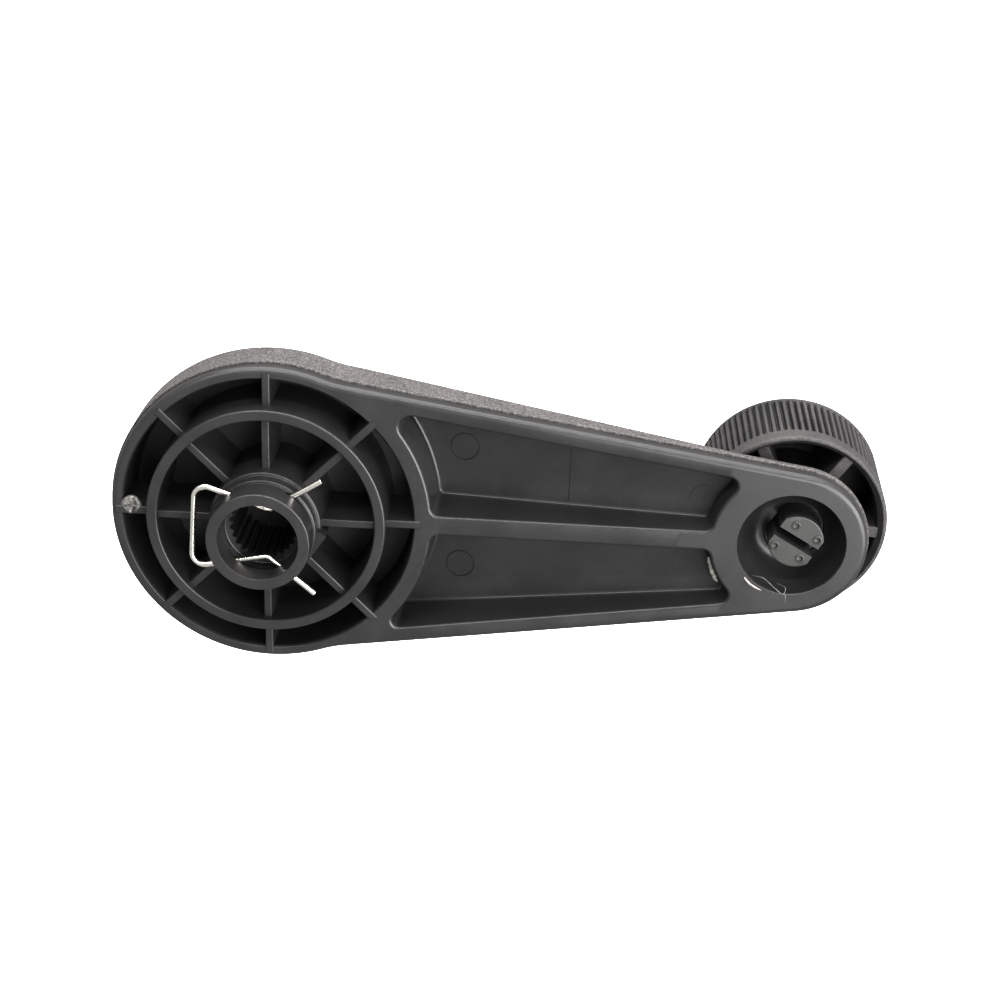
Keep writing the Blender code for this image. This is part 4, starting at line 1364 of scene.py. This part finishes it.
@dataclass
class Knob:
    """The knob's hollow shell with its ridged skirt."""

    back: float = -10.1 * MM
    front: float = -30.4 * MM
    back_radius: float = 18.05 * MM
    front_radius: float = 18.4 * MM
    back_edge: float = 0.45 * MM
    front_edge: float = 1.4 * MM
    inner: float = 16.3 * MM
    lip_width: float = 1.0 * MM
    lip_depth: float = 1.3 * MM
    hollow_floor: float = -26.6 * MM
    hollow_draft: float = 0.4 * MM
    ridges: int = 84
    groove: float = 1.0 * MM
    groove_slope: float = 1.9
    groove_onset: float = 0.35
    ridge_back: float = -13.6 * MM
    ridge_front: float = -28.6 * MM
    run_out: float = 0.7 * MM
    hub: float = 9.0 * MM
    hub_back: float = -10.8 * MM
    ribs: int = 6
    rib_half: float = 1.15 * MM
    rib_back: float = -11.1 * MM
    rib_turn: float = math.radians(-5.0)
    pin_hole: float = 4.3 * MM
    flange_seat: float = 7.3 * MM
    flange_seat_back: float = -26.0 * MM
    cap_seat: float = 13.3 * MM
    cap_seat_back: float = -28.6 * MM

    def __post_init__(self) -> None:
        """Take the knob's axis from its joint."""
        self.centre = knob_axis()

    def skirt(self, height: float) -> float:
        """The skirt's outer radius at one height."""
        share = (height - self.back) / (self.front - self.back)
        return self.back_radius + (self.front_radius - self.back_radius) * share

    def ring(self, height: float, radius: float, depth: float) -> Loop:
        """Draw one loop round the knob.

        Args:
            height: The loop's height.
            radius: Its radius over the ridges.
            depth: How deep the grooves between the ridges are here.

        Returns:
            The loop's points.
        """
        per_ridge = 10
        count = self.ridges * per_ridge
        loop: Loop = []
        for i in range(count):
            angle = math.tau * i / count
            wave = math.cos(angle * self.ridges)
            reach = radius - depth * min(1.0, max(0.0, self.groove_slope * wave - self.groove_onset))
            x, y = self.centre[0] + reach * math.cos(angle), self.centre[1] + reach * math.sin(angle)
            loop.append((x, y, height))
        return loop

    def blank(self) -> bmesh.types.BMesh:
        """Draw the knob's outside with its ridges, softened at both ends.

        Returns:
            The closed blank.
        """
        run_steps = 5
        loops: list[Loop] = []
        for i in range(EDGE_STEPS + 1):
            angle = math.pi / 2.0 * i / EDGE_STEPS
            radius = self.back_radius - self.back_edge * (1.0 - math.sin(angle))
            loops.append(self.ring(self.back - self.back_edge * (1.0 - math.cos(angle)), radius, 0.0))
        run = [(self.ridge_back - self.run_out * i / run_steps, i) for i in range(run_steps + 1)]
        run += [(self.ridge_front + self.run_out * i / run_steps, i) for i in range(run_steps, -1, -1)]
        for height, i in run:
            depth = self.groove * math.sin(math.pi / 2 * i / run_steps)
            loops.append(self.ring(height, self.skirt(height), depth))
        for i in range(EDGE_STEPS + 1):
            angle = math.pi / 2.0 * i / EDGE_STEPS
            radius = self.front_radius - self.front_edge * (1.0 - math.cos(angle))
            loops.append(self.ring(self.front + self.front_edge * (1.0 - math.sin(angle)), radius, 0.0))
        return lofted(loops)

    def build(self) -> bpy.types.Object:
        """Make the knob's shell.

        Returns:
            The finished piece, riding on the knob body.
        """
        work = Workpiece("knob_moulding", self.blank())
        lip = self.lip_width
        work.work(Tool.CUT, turned(soften([
            (0.0, self.hub_back, 0.0), (self.hub, self.hub_back, 0.3 * MM),
            (self.hub, self.hollow_floor, 0.5 * MM),
            (self.inner - self.hollow_draft, self.hollow_floor, 0.8 * MM),
            (self.inner, self.back - self.lip_depth, 0.4 * MM), (self.inner + lip, self.back, 0.0),
            (self.inner + 1.2 * lip, self.back + OVERSHOOT, 0.0), (0.0, self.back + OVERSHOOT, 0.0)]),
            centre=self.centre))
        ribs = bmesh.new()
        root = self.hollow_floor - EMBED
        section = soften([
            (-self.rib_half, root, 0.0), (self.rib_half, root, 0.0),
            (self.rib_half, self.rib_back, 0.25 * MM),
            (-self.rib_half, self.rib_back, 0.25 * MM)], closed=True)
        for i in range(self.ribs):
            turn = self.rib_turn + math.tau * i / self.ribs
            bar(ribs, (self.hub - EMBED, self.inner + EMBED), section, turn, self.centre)
        work.work(Tool.JOIN, ribs)
        work.work(Tool.CUT, turned(soften([
            (0.0, self.front - OVERSHOOT, 0.0), (self.cap_seat, self.front - OVERSHOOT, 0.0),
            (self.cap_seat, self.cap_seat_back, 0.2 * MM), (self.flange_seat, self.cap_seat_back, 0.2 * MM),
            (self.flange_seat, self.flange_seat_back, 0.2 * MM),
            (self.pin_hole, self.flange_seat_back, 0.2 * MM),
            (self.pin_hole, self.hub_back + OVERSHOOT, 0.0), (0.0, self.hub_back + OVERSHOOT, 0.0)]),
            centre=self.centre))
        piece = work.release([KNOB_PLASTIC])
        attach(piece, "knob")
        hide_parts("knob_shell")
        return piece


@dataclass
class KnobCap:
    """The crowned disc that closes the knob's front, with a fine line round its face."""

    radius: float = 13.0 * MM
    back: float = -28.9 * MM
    back_edge: float = 0.15 * MM
    front_edge: float = 0.25 * MM
    rise: float = 1.1 * MM
    sink: float = 0.2 * MM
    line_at: float = 0.8
    line_half: float = 0.25 * MM
    line_depth: float = 0.2 * MM
    crown_steps: int = 14

    def face(self, share: float) -> float:
        """The crowned face's height at a share of the radius."""
        return Knob.front + self.sink - self.rise * (1.0 - share * share)

    def build(self) -> bpy.types.Object:
        """Make the cap.

        Returns:
            The finished piece, riding on the knob body.
        """
        centre = knob_axis()
        profile: list[Corner] = [(0.0, self.back, 0.0), (self.radius, self.back, self.back_edge),
                                 (self.radius, self.face(1.0), self.front_edge)]
        for i in range(1, self.crown_steps + 1):
            share = 1.0 - i / self.crown_steps
            profile.append((self.radius * share, self.face(share), 0.0))
        line, proud = self.radius * self.line_at, Knob.front - self.rise
        work = Workpiece("knob_cap_disc", turned(soften(profile), centre=centre))
        work.work(Tool.CUT, turned([
            (line - self.line_half, proud), (line, self.face(self.line_at) + self.line_depth),
            (line + self.line_half, proud)], closed=True, centre=centre))
        piece = work.release([CAP_PLASTIC])
        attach(piece, "knob")
        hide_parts("knob_cap")
        return piece


# ---------------------------------------------------------------- the retaining clip

@dataclass
class SpringClip:
    """The bent wire that snaps over the regulator's spindle."""

    wire: float = 0.55 * MM
    level: float = 6.7 * MM
    turn: float = math.radians(-3.3)
    back_x: float = -12.9 * MM
    corner: tuple[float, float] = (-10.9 * MM, 8.7 * MM)
    neck: tuple[float, float] = (1.4 * MM, 4.85 * MM)
    tip: tuple[float, float] = (10.6 * MM, 11.65 * MM)
    corner_bend: float = 2.3 * MM
    neck_bend: float = 1.5 * MM
    cut_edge: float = 0.1 * MM
    closed_share: float = 0.7

    def build(self) -> bpy.types.Object:
        """Make the clip.

        Returns:
            The finished piece, riding on the clip body.
        """
        leg = [(self.back_x, self.corner[1], self.corner_bend), (*self.neck, self.neck_bend),
               (*self.tip, 0.0)]
        path = soften([(x, -y, r) for x, y, r in reversed(leg)] + leg, steps=10)
        cosine, sine = math.cos(self.turn), math.sin(self.turn)
        route = [Vector((x * cosine - y * sine, x * sine + y * cosine, self.level)) for x, y in path]
        for end, inward in ((0, 1), (-1, -2)):
            step = (route[inward] - route[end]).normalized() * self.cut_edge
            route.insert(1 if end == 0 else len(route) - 1, route[end] + step)
        radii = [self.wire] * len(route)
        radii[0] = radii[-1] = self.wire - self.cut_edge
        bm = bmesh.new()
        tube(bm, route, radii, Vector((0.0, 0.0, 1.0)), 20)
        piece = Workpiece("spring_clip_wire", bm).release([DrawnWire()])
        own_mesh(piece)
        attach(piece, "clip")
        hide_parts("spring_clip")
        return piece


# ---------------------------------------------------------------- the studio

@dataclass(frozen=True)
class SoftLight:
    """A rectangular studio light."""

    name: str
    place: tuple[float, float, float]
    size: tuple[float, float]
    power: float

    def hang(self, aim: Vector) -> None:
        """Hang the light and turn it to the handle.

        Args:
            aim: The point that it faces.
        """
        data = bpy.data.lights.new(self.name, "AREA")
        data.shape = "RECTANGLE"
        data.size, data.size_y = self.size
        data.energy = self.power
        lamp = bpy.data.objects.new(self.name, data)
        bpy.context.scene.collection.objects.link(lamp)
        lamp.location = self.place
        lamp.rotation_euler = (aim - Vector(self.place)).to_track_quat("-Z", "Y").to_euler()


LIGHTS = (
    # brightens the grained wall and the knob's skirt from above
    SoftLight("overhead", (0.05, 0.12, 0.66), (0.9, 0.6), 10.5),
    # draws a bright line along edges that face up
    SoftLight("top_front", (0.05, -0.34, 0.56), (1.2, 0.08), 7.0),
    # fills the hollows of the back, most on walls that face right
    SoftLight("right_front", (0.62, -0.72, 0.0), (1.0, 0.8), 32.0),
)


@dataclass
class Studio:
    """A pale floor, three soft lights, white surroundings and the camera."""

    aim: tuple[float, float, float] = (43.95 * MM, 11.65 * MM, 6.16 * MM)
    distance: float = 364.5 * MM
    azimuth: float = math.radians(2.37)
    elevation: float = math.radians(24.1)
    roll: float = math.radians(2.145)
    lens: float = 70.0
    floor_drop: float = 0.16
    floor_size: float = 6.0

    def build(self) -> None:
        """Make the floor, the lights, the surroundings and the camera, in that order."""
        self.floor()
        self.lights()
        self.surroundings()
        self.camera()

    def floor(self) -> None:
        """Lay a pale floor well below the handle, which neither mirrors it nor takes light from it."""
        low = CAD_BOX[0].z - self.floor_drop
        half = self.floor_size / 2.0
        bm = bmesh.new()
        corners = ((-half, -half), (half, -half), (half, half), (-half, half))
        bm.faces.new([bm.verts.new((x, y, low)) for x, y in corners])
        floor = shape("studio_floor", bm, clean=False)
        made = blank_material("pale_floor_paint")
        tree = made.node_tree
        shader = add(tree, "ShaderNodeBsdfPrincipled", {
            "Base Color": linear("#f7f7f7"), "Roughness": 0.9, "Emission Color": linear("#ffffff"),
            "Emission Strength": 0.6})
        add(tree, "ShaderNodeOutputMaterial", {"Surface": shader.outputs["BSDF"]})
        floor.data.materials.append(made)
        floor.visible_diffuse = False
        floor.visible_glossy = False

    def lights(self) -> None:
        """Hang the soft lights, all turned to the handle."""
        for light in LIGHTS:
            light.hang(Vector(self.aim))

    def surroundings(self) -> None:
        """Fill the surroundings with white, a little brighter to the eye than the light that it gives."""
        world = bpy.data.worlds.new("studio")
        world.use_nodes = True
        tree = world.node_tree
        tree.nodes.clear()
        seen = add(tree, "ShaderNodeBackground", {"Color": linear("#ffffff"), "Strength": 1.2})
        felt = add(tree, "ShaderNodeBackground", {"Color": linear("#ffffff"), "Strength": 1.0})
        path = add(tree, "ShaderNodeLightPath")
        mix = add(tree, "ShaderNodeMixShader", {
            0: path.outputs["Is Camera Ray"], 1: felt.outputs["Background"], 2: seen.outputs["Background"]})
        add(tree, "ShaderNodeOutputWorld", {"Surface": mix.outputs["Shader"]})
        bpy.context.scene.world = world
        bpy.context.scene.view_settings.view_transform = "Standard"
        bpy.context.scene.view_settings.gamma = 0.66      # deepens the dark tones and leaves white alone

    def camera(self) -> None:
        """Set the camera on its sight line."""
        level = math.cos(self.elevation)
        back = Vector((math.sin(self.azimuth) * level, -math.cos(self.azimuth) * level,
                       math.sin(self.elevation)))
        data = bpy.data.cameras.new("camera")
        data.lens = self.lens
        data.clip_start, data.clip_end = 0.01, 20.0
        view = bpy.data.objects.new("camera", data)
        bpy.context.scene.collection.objects.link(view)
        turn = (-back).to_track_quat("-Z", "Y").to_matrix().to_4x4() @ Matrix.Rotation(self.roll, 4, "Z")
        view.matrix_world = Matrix.Translation(Vector(self.aim) + back * self.distance) @ turn
        bpy.context.scene.camera = view


def main() -> None:
    """Build the handle piece by piece, then the studio round it."""
    logging.basicConfig(level=logging.INFO, format="%(name)s: %(message)s")
    for part in (HandleArm(), GateStub(), *FLASH, KnobSpindle(), Knob(), KnobCap(), SpringClip()):
        report(part.build())
    Studio().build()


if __name__ == "__main__":
    main()
